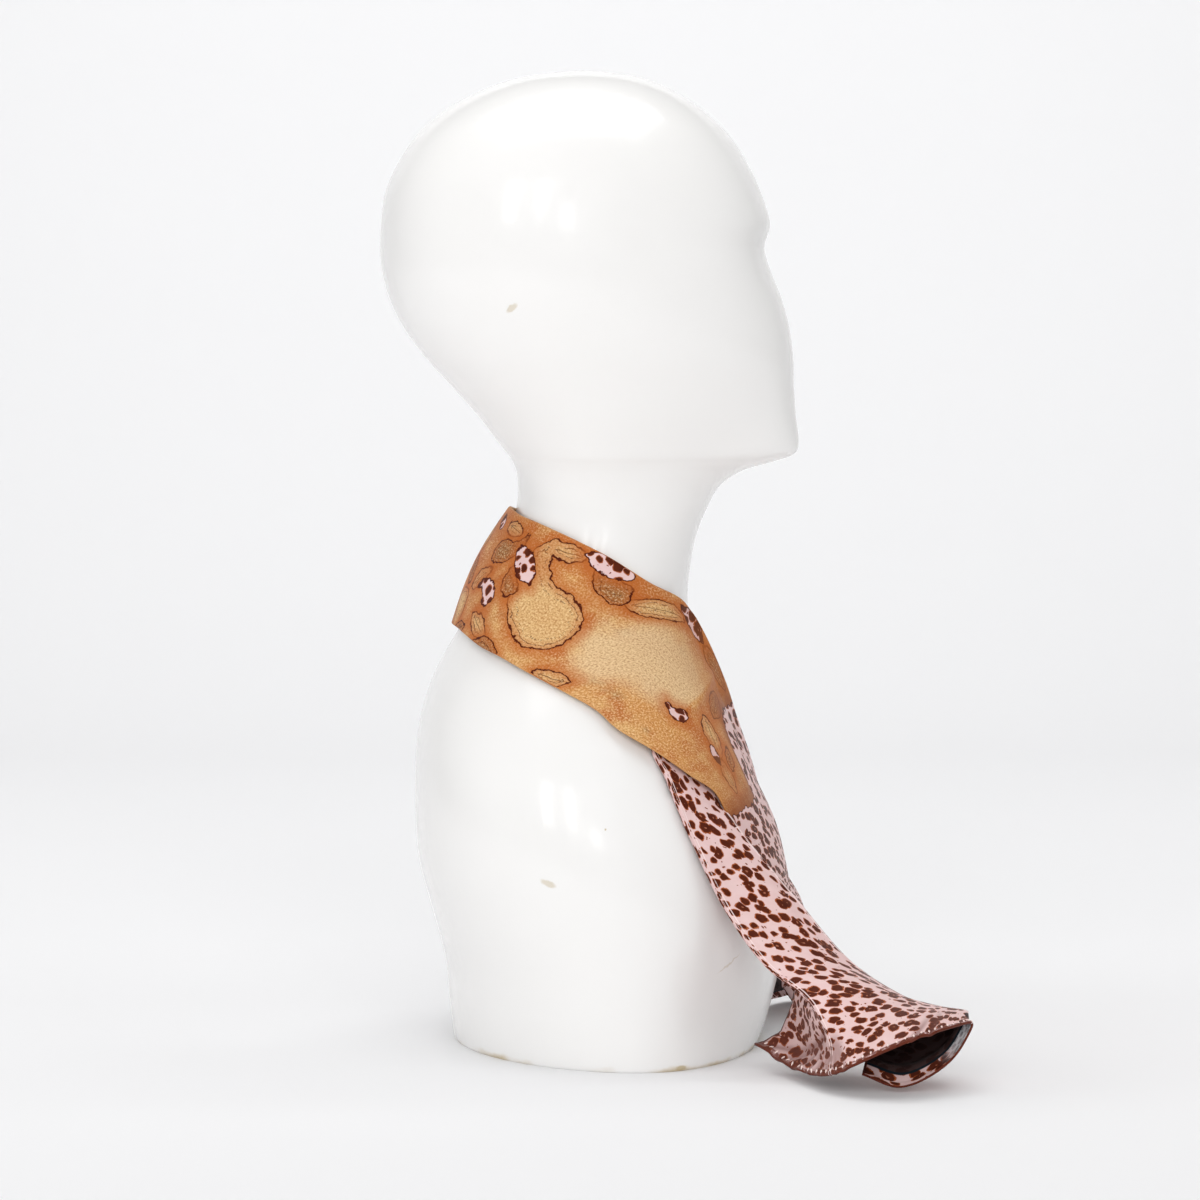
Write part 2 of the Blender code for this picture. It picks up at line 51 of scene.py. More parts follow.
# Each level: height, back, front, place of the widest line, half width, roundness of the back and of the
# front half, and the front without the brow and chin, which are in the middle of the face alone
BUST_LEVELS = [
    (0.0, -77.5, 77.5, 14.0, 119.0, 1.80, 2.00, 77.5),
    (2.0, -79.5, 79.5, 14.0, 121.5, 1.80, 2.00, 79.5),
    (20.0, -82.0, 85.5, 12.0, 124.0, 1.85, 2.00, 85.5),
    (45.0, -84.5, 91.0, 9.0, 127.0, 1.95, 2.05, 91.0),
    (70.0, -91.0, 92.0, 5.0, 129.0, 2.10, 2.10, 92.0),
    (95.0, -97.5, 88.0, 0.0, 129.0, 2.20, 2.10, 88.0),
    (120.0, -99.5, 78.5, -5.0, 126.0, 2.25, 2.10, 78.5),
    (145.0, -99.5, 68.0, -9.0, 118.0, 2.25, 2.05, 68.0),
    (168.0, -97.0, 58.0, -12.0, 105.0, 2.20, 2.00, 58.0),
    (188.0, -91.0, 51.0, -14.0, 92.0, 2.10, 2.00, 51.0),
    (203.0, -83.5, 46.0, -13.0, 81.0, 2.00, 2.00, 46.0),
    (217.0, -75.0, 43.0, -11.0, 72.0, 2.00, 2.00, 43.0),
    (232.0, -65.0, 42.0, -8.0, 65.0, 2.00, 2.00, 42.0),
    (248.0, -56.0, 43.5, -4.0, 60.0, 2.00, 2.00, 43.5),
    (264.0, -50.0, 46.8, -1.0, 57.0, 2.00, 2.00, 46.8),
    (278.0, -46.8, 52.5, 0.0, 56.0, 2.00, 2.00, 52.5),
    (288.0, -46.2, 58.5, 0.0, 57.0, 2.00, 1.95, 56.0),
    (296.0, -47.0, 70.0, 0.0, 59.0, 2.00, 1.90, 60.0),
    (301.0, -49.0, 87.0, 0.0, 61.0, 2.00, 1.85, 63.0),
    (305.0, -51.5, 97.5, 0.0, 63.0, 2.00, 1.85, 65.5),
    (312.0, -57.0, 99.5, 0.0, 65.0, 2.00, 1.85, 70.0),
    (325.0, -67.0, 98.0, -2.0, 69.0, 2.00, 1.90, 77.0),
    (340.0, -80.5, 97.0, -6.0, 73.0, 2.05, 1.95, 83.0),
    (355.0, -94.0, 96.5, -10.0, 77.0, 2.10, 2.00, 87.0),
    (370.0, -105.0, 94.5, -14.0, 80.0, 2.10, 2.00, 89.0),
    (385.0, -112.5, 90.5, -18.0, 82.0, 2.10, 2.00, 89.5),
    (400.0, -116.3, 84.5, -20.0, 83.0, 2.10, 2.05, 88.0),
    (412.0, -117.3, 81.5, -21.0, 83.0, 2.10, 2.05, 86.0),
    (424.0, -116.8, 84.3, -21.0, 82.5, 2.10, 2.05, 83.5),
    (440.0, -114.5, 79.5, -20.0, 80.5, 2.10, 2.05, 79.5),
    (455.0, -108.0, 72.5, -18.0, 76.0, 2.10, 2.05, 72.5),
    (470.0, -97.5, 62.5, -16.0, 69.0, 2.10, 2.05, 62.5),
    (483.0, -82.5, 49.0, -14.0, 58.0, 2.00, 2.00, 49.0),
    (493.0, -63.5, 33.0, -13.0, 44.0, 2.00, 2.00, 33.0),
    (499.0, -45.0, 17.0, -13.0, 29.0, 2.00, 2.00, 17.0),
    (502.0, -24.0, -1.0, -12.5, 12.0, 2.00, 2.00, -1.0),
]


def smooth_rows(rows, places):
    """Values on a smooth curve through the rows; a place counts rows from the first."""
    table = np.asarray(rows, float)
    places = np.atleast_1d(np.asarray(places, float))
    last = len(table) - 1
    index = np.clip(np.floor(places).astype(int), 0, last - 1)
    part = (places - index)[:, None]
    here, after = table[index], table[index + 1]
    before = np.where((index > 0)[:, None], table[np.maximum(index - 1, 0)], 2 * here - after)
    beyond = np.where((index < last - 1)[:, None], table[np.minimum(index + 2, last)], 2 * after - here)
    linear = (after - before) * part
    square = (2 * before - 5 * here + 4 * after - beyond) * part**2
    cubic = (3 * here - before - 3 * after + beyond) * part**3
    return 0.5 * (2 * here + linear + square + cubic)


def lofted(level, azimuth):
    """Points of the bust's surface at given levels (rows of values) and directions round it."""
    height, back, front, widest, half, round_back, round_front, plain_front = level.T
    cosine, sine = np.cos(azimuth), np.sin(azimuth)
    ahead = cosine > 0
    front = plain_front + (front - plain_front) * np.maximum(cosine, 0.0) ** FACE_FOCUS
    reach = np.where(ahead, front - widest, widest - back)
    power = 2 / np.where(ahead, round_front, round_back)
    x = widest + reach * np.sign(cosine) * np.abs(cosine) ** power
    y = half * np.sign(sine) * np.abs(sine) ** power
    return np.stack([x, y, height], axis=1)


bpy.ops.object.select_all(action="DESELECT")
bpy.ops.mesh.primitive_uv_sphere_add(segments=BUST_SEGMENTS, ring_count=BUST_RINGS, radius=1.0)
bust = bpy.context.object
bust.name = "display_bust"
ball = np.array([vertex.co for vertex in bust.data.vertices])
ring = np.rint((1 - np.arccos(np.clip(ball[:, 2], -1, 1)) / math.pi) * BUST_RINGS)
azimuth = np.arctan2(ball[:, 1], ball[:, 0])
levels = smooth_rows(BUST_LEVELS, np.clip((ring - 2) / (BUST_RINGS - 3), 0, 1) * (len(BUST_LEVELS) - 1))
body = lofted(levels, azimuth)
body[ring == 1, :2] *= UNDERSIDE_INSET
body[ring == 0] = (0.0, 0.0, 0.0)
body[ring == BUST_RINGS] = (CROWN_PLACE, 0.0, BUST_TOP)
bust.data.vertices.foreach_set("co", (body * MM).ravel())
bust.data.update()
bpy.ops.object.shade_smooth_by_angle(angle=math.radians(40))
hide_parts("bust")
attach(bust, "root")


def add(tree, kind, *values, out=0, **settings):
    """Output of a new node; its values are numbers, colours or outputs, in the order of the sockets."""
    made = tree.nodes.new("ShaderNode" + kind)
    for name, value in settings.items():
        setattr(made, name, value)
    for socket, value in zip(made.inputs, values):
        if isinstance(value, bpy.types.NodeSocket):
            tree.links.new(value, socket)
        elif value is not None:
            socket.default_value = value
    return made.outputs[out]


def maths(tree, operation, *values, clamp=False):
    """Output of a Math node."""
    return add(tree, "Math", *values, operation=operation, use_clamp=clamp)


def times(tree, first, second):
    """One value times another."""
    return maths(tree, "MULTIPLY", first, second)


def vector_maths(tree, operation, first, second=None):
    """Output of a Vector Math node; a distance or a product is its second output."""
    out = 1 if operation in ("DISTANCE", "DOT_PRODUCT", "LENGTH") else 0
    return add(tree, "VectorMath", first, second, operation=operation, out=out)


def step(tree, value, low, high):
    """0 below low, 1 above high and smooth between them; it falls where low is the higher of the two."""
    return add(tree, "MapRange", value, low, high, 0.0, 1.0, interpolation_type="SMOOTHSTEP")


def colour(red, green, blue):
    """A colour as seen on a screen, from 0 to 255, as the shader's own light values."""
    parts = [part / 255 for part in (red, green, blue)]
    return (*[part / 12.92 if part < 0.04045 else ((part + 0.055) / 1.055) ** 2.4 for part in parts], 1.0)


def mixed(tree, share, low, high):
    """Low where the share is 0, high where it is 1."""
    made = tree.nodes.new("ShaderNodeMix")
    made.data_type = "RGBA"
    for socket, value in ((made.inputs[0], share), (made.inputs[6], low), (made.inputs[7], high)):
        if isinstance(value, bpy.types.NodeSocket):
            tree.links.new(value, socket)
        else:
            socket.default_value = value
    return made.outputs[2]


def noise(tree, place, scale, detail=2.0, roughness=0.5, out=0):
    """Noise of a given number of waves for each unit of place."""
    return add(tree, "TexNoise", place, None, scale, detail, roughness, out=out)


def wobbled(tree, place, scale, reach):
    """A place moved about by noise, so that edges drawn with it are uneven."""
    away = vector_maths(tree, "SUBTRACT", noise(tree, place, scale, 3.0, out=1), (0.5, 0.5, 0.5))
    away = vector_maths(tree, "MULTIPLY", away, (reach, reach, reach))
    return vector_maths(tree, "ADD", place, away)


def new_finish(name, **sockets):
    """A material with its shader's own values set, its node tree and its shader."""
    material = bpy.data.materials.new(name)
    material.use_nodes = True
    shader = material.node_tree.nodes["Principled BSDF"]
    for socket, value in sockets.items():
        shader.inputs[socket.replace("_", " ")].default_value = value
    return material, material.node_tree, shader


# Heights between which the yellowed wear of the rim ends, and how unevenly it does
RIM_WEAR_FULL = 3.0
RIM_WEAR_END = 6.2
RIM_WEAR_UNEVEN = 6.0
glossy_white, tree, shader = new_finish(
    "glossy_white_plastic", Roughness=0.2, Coat_Weight=0.35, Coat_Roughness=0.08
)
place = add(tree, "TexCoord", out=3)
height = add(tree, "SeparateXYZ", place, out=2)
clouding = noise(tree, place, 9.0, 3.0)
white = mixed(tree, clouding, colour(240, 239, 237), colour(246, 245, 244))
uneven_height = times(tree, noise(tree, place, 60.0, 4.0), RIM_WEAR_UNEVEN * MM)
uneven_height = maths(tree, "ADD", height, uneven_height)
rim_worn = step(tree, uneven_height, RIM_WEAR_END * MM, RIM_WEAR_FULL * MM)
rim_patchy = times(tree, rim_worn, step(tree, noise(tree, place, 22.0, 3.0), 0.38, 0.62))
white = mixed(tree, rim_patchy, white, colour(206, 190, 160))
MARK_UNEVEN = 2.2

# Marks of wear on its right side: place x, z, half length, half width, tilt in degrees, strength
MARKS = [
    (-47.8, 380.3, 4.2, 1.8, 35.0, 0.5),
    (-29.1, 95.3, 4.8, 2.0, -20.0, 0.5),
    (61.1, 52.1, 8.5, 0.5, 35.0, 0.35),
    (-1.1, 122.5, 0.8, 0.7, 0.0, 0.8),
    (36.8, 1.5, 3.0, 1.6, 0.0, 0.8),
]
sideways = add(tree, "SeparateXYZ", place, out=1)
near_side = add(tree, "MapRange", sideways, MM, -MM, 0.0, 1.0)
uneven = wobbled(tree, place, 320.0, MARK_UNEVEN * MM)
for x, z, half_length, half_width, tilt, strength in MARKS:
    away = vector_maths(tree, "SUBTRACT", uneven, (x * MM, 0.0, z * MM))
    away = add(tree, "VectorRotate", away, None, None, math.radians(tilt), rotation_type="Y_AXIS")
    away = vector_maths(tree, "MULTIPLY", away, (1 / (half_length * MM), 0.0, 1 / (half_width * MM)))
    mark = step(tree, vector_maths(tree, "LENGTH", away), 1.0, 0.5)
    mark = times(tree, times(tree, mark, near_side), strength)
    white = mixed(tree, mark, white, colour(196, 178, 140))
tree.links.new(white, shader.inputs["Base Color"])
speckled = noise(tree, place, 260.0, 3.0)
dulled = add(tree, "MapRange", speckled, 0.3, 0.7, 0.17, 0.24)
tree.links.new(dulled, shader.inputs["Roughness"])
moulding_waves = add(tree, "Bump", 0.04, 0.002, None, noise(tree, place, 14.0, 2.0))
tree.links.new(moulding_waves, shader.inputs["Normal"])
bust.data.materials.append(glossy_white)

# The cloth of the foulard
# One oblong of thin printed satin, hemmed at both ends and folded in three along its length, with the
# middle panel outside. It is laid round the neck and crossed on the chest, right over left, and both of its
# ends open out.
CLOTH_THICKNESS = 0.35
HEM_THICKNESS = 1.3
HEM_WIDTH = 3.2
HEM_ROWS_END = 9.5
ROW_SPACING = 2.6
SIDE_COLUMNS = 25
FOLD_COLUMNS = 6
FRONT_COLUMNS = 58
CUT_WIDTH = 216.0
FOLDED_SHARE = 0.9
NEAR_FOLD_SHARE = 0.12
FLOOR_CLEARANCE = 0.9
BUST_CLEARANCE = 0.6
BAND_LOWER_REACH = 2.4
BAND_PITCH = 0.8
TAIL_LIFT = 4.2
TAIL_PITCH = 1.2

# Each section of a band: upper fold x, y, z, lower fold x, y, z, distance from the bust at the upper and
# the lower fold, outward bow
RIGHT_BAND = [
    (-51.0, 0.0, 277.0, -79.5, 0.0, 219.5, 2.8, 2.8, 3.4),
    (-45.0, -27.0, 273.5, -75.0, -27.0, 218.0, 2.8, 2.8, 3.2),
    (-30.0, -49.0, 268.0, -64.0, -56.0, 211.5, 2.8, 2.8, 2.6),
    (-15.0, -58.5, 261.5, -53.0, -71.0, 207.0, 2.8, 2.8, 1.4),
    (1.0, -62.0, 253.5, -40.0, -83.0, 200.5, 2.8, 2.8, 1.0),
    (22.0, -55.0, 240.0, -22.0, -93.0, 191.5, 3.3, 3.3, 1.0),
    (40.0, -31.0, 228.0, -4.0, -99.5, 181.0, 4.3, 4.3, 1.0),
    (50.0, -22.0, 213.0, 7.0, -103.5, 170.5, 5.8, 5.8, 1.0),
    (61.0, -15.0, 188.0, 27.0, -103.0, 158.0, 7.0, 7.2, 2.0),
    (67.5, -9.0, 168.0, 41.0, -98.0, 147.0, 6.6, 7.6, 2.0),
    (73.5, -3.0, 151.0, 54.0, -89.0, 137.0, 5.8, 7.6, 2.0),
    (78.5, 10.0, 134.0, 61.0, -84.5, 120.5, 5.2, 5.0, 1.0),
    (84.2, 27.0, 112.0, 68.0, -80.5, 103.0, 6.6, 3.0, 1.0),
]
LEFT_BAND = [
    (-51.0, 0.0, 277.0, -79.5, 0.0, 219.5, 2.8, 2.8, 3.4),
    (-45.0, 27.0, 273.5, -75.0, 27.0, 218.0, 2.8, 2.8, 3.2),
    (-30.0, 49.0, 268.0, -64.0, 56.0, 211.5, 2.8, 2.8, 2.6),
    (-15.0, 58.5, 261.5, -53.0, 71.0, 207.0, 2.8, 2.8, 1.4),
    (1.0, 62.0, 253.5, -40.0, 83.0, 199.0, 2.8, 2.8, 1.0),
    (22.0, 55.0, 240.0, -18.0, 95.0, 190.0, 2.8, 2.8, 1.0),
    (39.0, 31.0, 227.0, 8.0, 100.0, 176.0, 2.8, 2.8, 1.0),
    (46.0, 8.0, 214.0, 37.0, 86.0, 160.0, 2.8, 2.8, 0.5),
    (48.0, -15.0, 203.0, 60.0, 48.0, 148.0, 2.8, 2.8, 0.0),
    (44.0, -42.0, 192.0, 66.0, 0.0, 142.0, 2.8, 2.8, 0.0),
    (35.0, -70.0, 179.0, 62.0, -42.0, 141.0, 2.8, 2.8, 0.0),
    (22.5, -97.3, 162.5, 50.0, -80.7, 147.2, 2.8, 2.8, 0.0),
]

# Each section of a tail: outer fold x, y, z, inner fold x, y, z, bow of the front panel x, y, z,
# and how far the outer and inner side panels stand open
RIGHT_TAIL = [
    (28.5, -104.5, 146.0, 55.0, -86.0, 134.0, 0.0, -0.5, 0.3, 0.0, 0.0),
    (35.8, -110.0, 132.0, 63.5, -90.0, 123.5, 0.3, -1.0, 0.5, 0.0, 0.0),
    (43.0, -113.5, 117.0, 71.0, -93.0, 113.0, 0.5, -2.0, 1.0, 0.0, 0.0),
    (58.0, -119.0, 85.5, 94.0, -96.0, 85.5, 1.9, -2.9, 2.0, 0.0, 0.0),
    (77.5, -130.5, 58.0, 121.0, -107.0, 55.0, 2.4, -3.6, 4.0, 0.1, 0.0),
    (97.0, -145.0, 43.0, 148.0, -125.0, 39.0, 2.3, -4.4, 6.5, 0.5, 0.15),
    (104.0, -157.0, 33.5, 165.0, -138.0, 36.0, 1.5, -9.0, 6.5, 0.95, 0.8),
    (106.5, -170.0, 22.0, 176.8, -152.0, 36.0, 0.8, -17.0, 7.0, 1.0, 1.0),
    (106.0, -188.0, 8.0, 179.5, -168.0, 33.5, 0.0, -25.0, 7.0, 1.0, 1.0),
]
LEFT_TAIL = [
    (89.0, 42.0, 92.0, 82.0, -66.0, 85.0, 5.0, 0.0, 1.0, 0.0, 0.0),
    (91.0, 66.0, 70.0, 97.0, -28.0, 70.0, 6.0, 0.0, 4.0, 0.0, 0.0),
    (93.0, 88.0, 50.0, 105.0, 20.0, 60.0, 5.0, 0.0, 4.0, 0.2, 0.0),
    (95.0, 105.0, 33.0, 112.0, 52.0, 46.0, 4.0, 0.0, 6.0, 0.8, 0.1),
    (98.0, 120.0, 15.0, 125.0, 82.0, 32.0, 3.0, 0.0, 8.0, 1.0, 0.6),
    (101.0, 132.0, 3.0, 143.0, 103.0, 18.0, 2.0, 2.0, 8.0, 1.0, 1.0),
]

# How a side panel stands open: sections from the hem, then the way from its fold to a third, two thirds
# and the whole of the panel, each as x, y, z
RIGHT_OUTER_OPENING = [
    (0.0, -9.5, 26.0, -1.5, -20.3, 50.0, 1.0, -32.9, 70.0, 7.3),
    (0.2, -9.5, 24.5, -1.5, -17.0, 47.0, 0.5, -26.0, 66.5, 6.4),
    (0.5, -6.5, 24.0, -1.5, -10.0, 45.0, 0.0, -20.2, 63.0, 4.8),
    (1.0, -5.0, 21.0, -1.5, -9.5, 40.0, 0.5, -17.4, 58.0, 3.8),
    (1.5, -4.0, 18.0, -1.5, -8.0, 36.0, 2.0, -13.1, 53.5, 6.0),
    (2.0, -4.0, 16.0, -1.0, -8.0, 32.0, 3.0, -11.3, 49.0, 10.6),
]
RIGHT_INNER_OPENING = [
    (0.0, -12.5, -9.5, -18.3, -36.0, -15.0, -30.0, -55.7, -8.0, -25.0),
    (0.5, -12.5, -8.0, -18.0, -33.0, -12.0, -28.0, -53.0, -5.0, -24.0),
    (1.0, -13.0, -6.0, -17.0, -33.0, -8.0, -25.0, -52.0, -2.0, -22.0),
    (2.0, -12.0, -3.0, -13.0, -30.0, -3.0, -19.0, -47.0, 2.0, -17.0),
]
LEFT_OUTER_OPENING = [
    (0.0, -7.0, -12.0, 0.5, -15.0, -24.0, 0.5, -24.0, -35.0, 1.0),
    (1.0, -8.0, -12.0, -1.0, -16.0, -24.0, -2.0, -24.0, -34.0, -3.0),
    (2.0, -8.0, -12.0, 0.0, -15.0, -24.0, 0.0, -21.0, -35.0, 0.0),
]
LEFT_INNER_OPENING = [
    (0.0, -9.0, 1.0, -9.0, -24.0, 3.0, -13.5, -41.0, 5.0, -15.5),
    (1.0, -8.0, 1.0, -11.0, -20.0, 3.0, -19.0, -35.0, 5.0, -24.0),
    (2.0, -6.0, 1.0, -9.0, -15.0, 4.0, -16.0, -26.0, 7.0, -21.0),
]

FINE_LEVELS = smooth_rows(BUST_LEVELS, np.linspace(0, len(BUST_LEVELS) - 1, 1400))


def bust_excess(points):
    """How far outside the bust each point is, as a share of the bust's size there."""
    columns = [np.interp(points[:, 2], FINE_LEVELS[:, 0], FINE_LEVELS[:, k]) for k in range(1, 7)]
    back, front, widest, half, round_back, round_front = columns
    along = points[:, 0] - widest
    reach = np.where(along > 0, front - widest, widest - back)
    power = np.where(along > 0, round_front, round_back)
    return (np.abs(along / reach) ** power + np.abs(points[:, 1] / half) ** power) ** (1 / power) - 1


def bust_slope(points):
    """Change of the excess along x, y and z, for each point."""
    slope = np.zeros_like(points)
    for axis in range(3):
        reach = np.zeros(3)
        reach[axis] = 0.5
        slope[:, axis] = bust_excess(points + reach) - bust_excess(points - reach)
    return slope


def stand_off(grid, gap):
    """Moves the points of a grid that are closer to the bust than the gap straight out to it."""
    points = grid.reshape(-1, 3).copy()
    gap = np.broadcast_to(gap, grid.shape[:-1]).reshape(-1)
    for _ in range(10):
        slope = bust_slope(points)
        steepness = np.maximum(np.linalg.norm(slope, axis=1), 1e-9)
        short = np.maximum(gap - bust_excess(points) / steepness, 0.0)
        points += slope / steepness[:, None] * short[:, None]
    return points.reshape(grid.shape)


def unit(vectors):
    """Vectors scaled to length 1."""
    return vectors / np.maximum(np.linalg.norm(vectors, axis=-1, keepdims=True), 1e-9)


def direction(grid, axis):
    """Direction of a grid's lines at each point, halfway between the stretches before and after it."""
    steps = unit(np.diff(grid, axis=axis))
    before = np.concatenate([np.take(steps, [0], axis=axis), steps], axis=axis)
    after = np.concatenate([steps, np.take(steps, [-1], axis=axis)], axis=axis)
    return unit(before + after)


def grid_normals(grid):
    """Outward normals of a grid of points, one row for each section of the cloth."""
    return unit(np.cross(direction(grid, 1), direction(grid, 0)))


def band_rows(band):
    """Sections of a band as rows of the whole cloth: folds, bow, lifts, pitch, and shut side panels."""
    band = np.array(band)
    upper, lower, lifts = band[:, 0:3], band[:, 3:6], band[:, 6:8]
    bow = unit(bust_slope((upper + lower) / 2)) * band[:, 8:9]
    lower = lower + unit(lower - upper) * BAND_LOWER_REACH
    pitch = np.full((len(band), 1), BAND_PITCH)
    return np.concatenate([upper, lower, bow, lifts, pitch, np.zeros((len(band), 2))], axis=1)


def tail_rows(tail):
    """Sections of a tail as rows of the whole cloth."""
    tail = np.array(tail)
    lifts = np.full((len(tail), 2), TAIL_LIFT)
    pitch = np.full((len(tail), 1), TAIL_PITCH)
    return np.concatenate([tail[:, :9], lifts, pitch, tail[:, 9:11]], axis=1)


# The sections run from the hem of the right tail, round the nape, to the hem of the left tail
right_tail, left_tail = tail_rows(RIGHT_TAIL), tail_rows(LEFT_TAIL)
left_band, right_band = band_rows(LEFT_BAND), band_rows(RIGHT_BAND)
sections = np.concatenate([right_tail[::-1], left_band[::-1], right_band[1:], left_tail])
nape_section = len(right_tail) + len(left_band) - 1

# Rows lie a few millimetres apart along the cloth, and closer at the hems
fine_places = np.linspace(0, len(sections) - 1, 4000)
fine_middle = smooth_rows(sections[:, :9], fine_places)
fine_middle = (fine_middle[:, 0:3] + fine_middle[:, 3:6]) / 2 + fine_middle[:, 6:9]
fine_length = np.concatenate([[0.0], np.cumsum(np.linalg.norm(np.diff(fine_middle, axis=0), axis=1))])
cloth_length = fine_length[-1]
hem_rows = np.array([0.0, 0.25, 0.7, 1.3, 1.9, 2.5, 2.95, 3.3, 3.8, 4.6, 5.8, 7.4])
inner_count = int((cloth_length - 2 * HEM_ROWS_END) / ROW_SPACING)
inner_rows = np.linspace(HEM_ROWS_END, cloth_length - HEM_ROWS_END, inner_count)
row_lengths = np.concatenate([hem_rows, inner_rows, cloth_length - hem_rows[::-1]])
row_places = np.interp(row_lengths, fine_length, fine_places)
rows = smooth_rows(sections, row_places)
nape_length = np.interp(nape_section, fine_places, fine_length)

# The front panel, between its two folds
outer_fold, inner_fold, bow, pitch = rows[:, 0:3], rows[:, 3:6], rows[:, 6:9], rows[:, 11]
across = np.linspace(0.0, 1.0, FRONT_COLUMNS)[None, :, None]
front = outer_fold[:, None, :] * (1 - across) + inner_fold[:, None, :] * across
front = front + bow[:, None, :] * np.sin(np.pi * across)
lifts = rows[:, 9:10] * (1 - across[:, :, 0]) + rows[:, 10:11] * across[:, :, 0]
front = stand_off(front, lifts)


def folded_panel(side, layers):
    """A side panel folded flat behind the front panel, from its fold to its free edge."""
    normals = grid_normals(front)
    edge, next_to_it = (0, 1) if side == "outer" else (-1, -2)
    fold_line = direction(front[:, edge], 0)
    beyond = front[:, edge] - front[:, next_to_it]
    beyond = unit(beyond - fold_line * np.sum(beyond * fold_line, axis=1, keepdims=True))
    depth = (layers * pitch)[:, None]
    columns = []
    for k in range(FOLD_COLUMNS + SIDE_COLUMNS + 1):
        turn = np.pi * min(k / FOLD_COLUMNS, 1.0)
        inward = max(k - FOLD_COLUMNS, 0) / SIDE_COLUMNS * FOLDED_SHARE * (FRONT_COLUMNS - 1)
        column = inward if side == "outer" else FRONT_COLUMNS - 1 - inward
        low = min(int(column), FRONT_COLUMNS - 2)
        part = column - low
        base = front[:, low] * (1 - part) + front[:, low + 1] * part
        normal = unit(normals[:, low] * (1 - part) + normals[:, low + 1] * part)
        columns.append(base + beyond * depth / 2 * np.sin(turn) - normal * depth / 2 * (1 - np.cos(turn)))
    return np.stack(columns, axis=1)


def open_panel(edge, right_opening, left_opening):
    """A side panel that stands open, from its fold to its free edge."""
    near_fold = np.linspace(0.0, NEAR_FOLD_SHARE, FOLD_COLUMNS + 1)
    shares = np.concatenate([near_fold, np.linspace(NEAR_FOLD_SHARE, 1.0, SIDE_COLUMNS + 1)[1:]])
    panel = []
    for fold, place in zip(front[:, edge], row_places):
        from_end = min(place, len(sections) - 1 - place)
        opening = np.array(right_opening if place < nape_section else left_opening)
        ways = [np.interp(from_end, opening[:, 0], opening[:, column]) for column in range(1, 10)]
        ways = np.concatenate([np.zeros((1, 3)), np.reshape(ways, (3, 3))])
        panel.append(fold + smooth_rows(ways, 3 * shares))
    return np.array(panel)


panels = []
for side, edge, layers, share_column, right_opening, left_opening in (
    ("outer", 0, 2, 12, RIGHT_OUTER_OPENING, LEFT_OUTER_OPENING),
    ("inner", -1, 1, 13, RIGHT_INNER_OPENING, LEFT_INNER_OPENING),
):
    opened = np.clip(rows[:, share_column], 0.0, 1.0)[:, None, None]
    open_way = open_panel(edge, right_opening, left_opening)
    panels.append(folded_panel(side, layers) * (1 - opened) + open_way * opened)
cloth = np.concatenate([panels[0][:, :0:-1], front, panels[1][:, 1:]], axis=1)

# Near the hems the folds open into soft rolls: the outer fold far up the mouth, the inner one at its end
MOUTH_REACH = 46.0
INNER_ROLL_REACH = 14.0
ROLL_COLUMNS = 12
side_count = FOLD_COLUMNS + SIDE_COLUMNS
inner_fold_column = side_count + FRONT_COLUMNS - 1
column_number = np.arange(cloth.shape[1])
from_hem = np.minimum(row_lengths, cloth_length - row_lengths)
for fold_column, reach, steps in ((side_count, MOUTH_REACH, 90), (inner_fold_column, INNER_ROLL_REACH, 12)):
    softness = np.clip(1 - from_hem / reach, 0.0, 1.0)[:, None, None]
    near = np.clip(1.6 - np.abs(column_number - fold_column) / ROLL_COLUMNS, 0.0, 1.0)[None, 1:-1, None]
    for _ in range(steps):
        between = (cloth[:, :-2] + cloth[:, 2:]) / 2
        cloth[:, 1:-1] += 0.5 * softness * near * (between - cloth[:, 1:-1])

# Places on the flat cut: along it from the right tail's hem, and across it from its outer edge
across_front = np.linalg.norm(np.diff(front, axis=1), axis=2)
across_front = np.concatenate([np.zeros((len(rows), 1)), np.cumsum(across_front, axis=1)], axis=1)
front_width = across_front[:, -1:]
side_width = (CUT_WIDTH - front_width) / 2
side_share = np.linspace(0.0, 1.0, side_count + 1)[None, :-1]
across_cut = np.concatenate([
    side_share * side_width,
    side_width + across_front,
    CUT_WIDTH - side_share[:, ::-1] * side_width,
], axis=1)
along_cut = np.repeat(row_lengths[:, None], across_cut.shape[1], axis=1)
from_outer_fold = across_cut - side_width
from_inner_fold = from_outer_fold - front_width

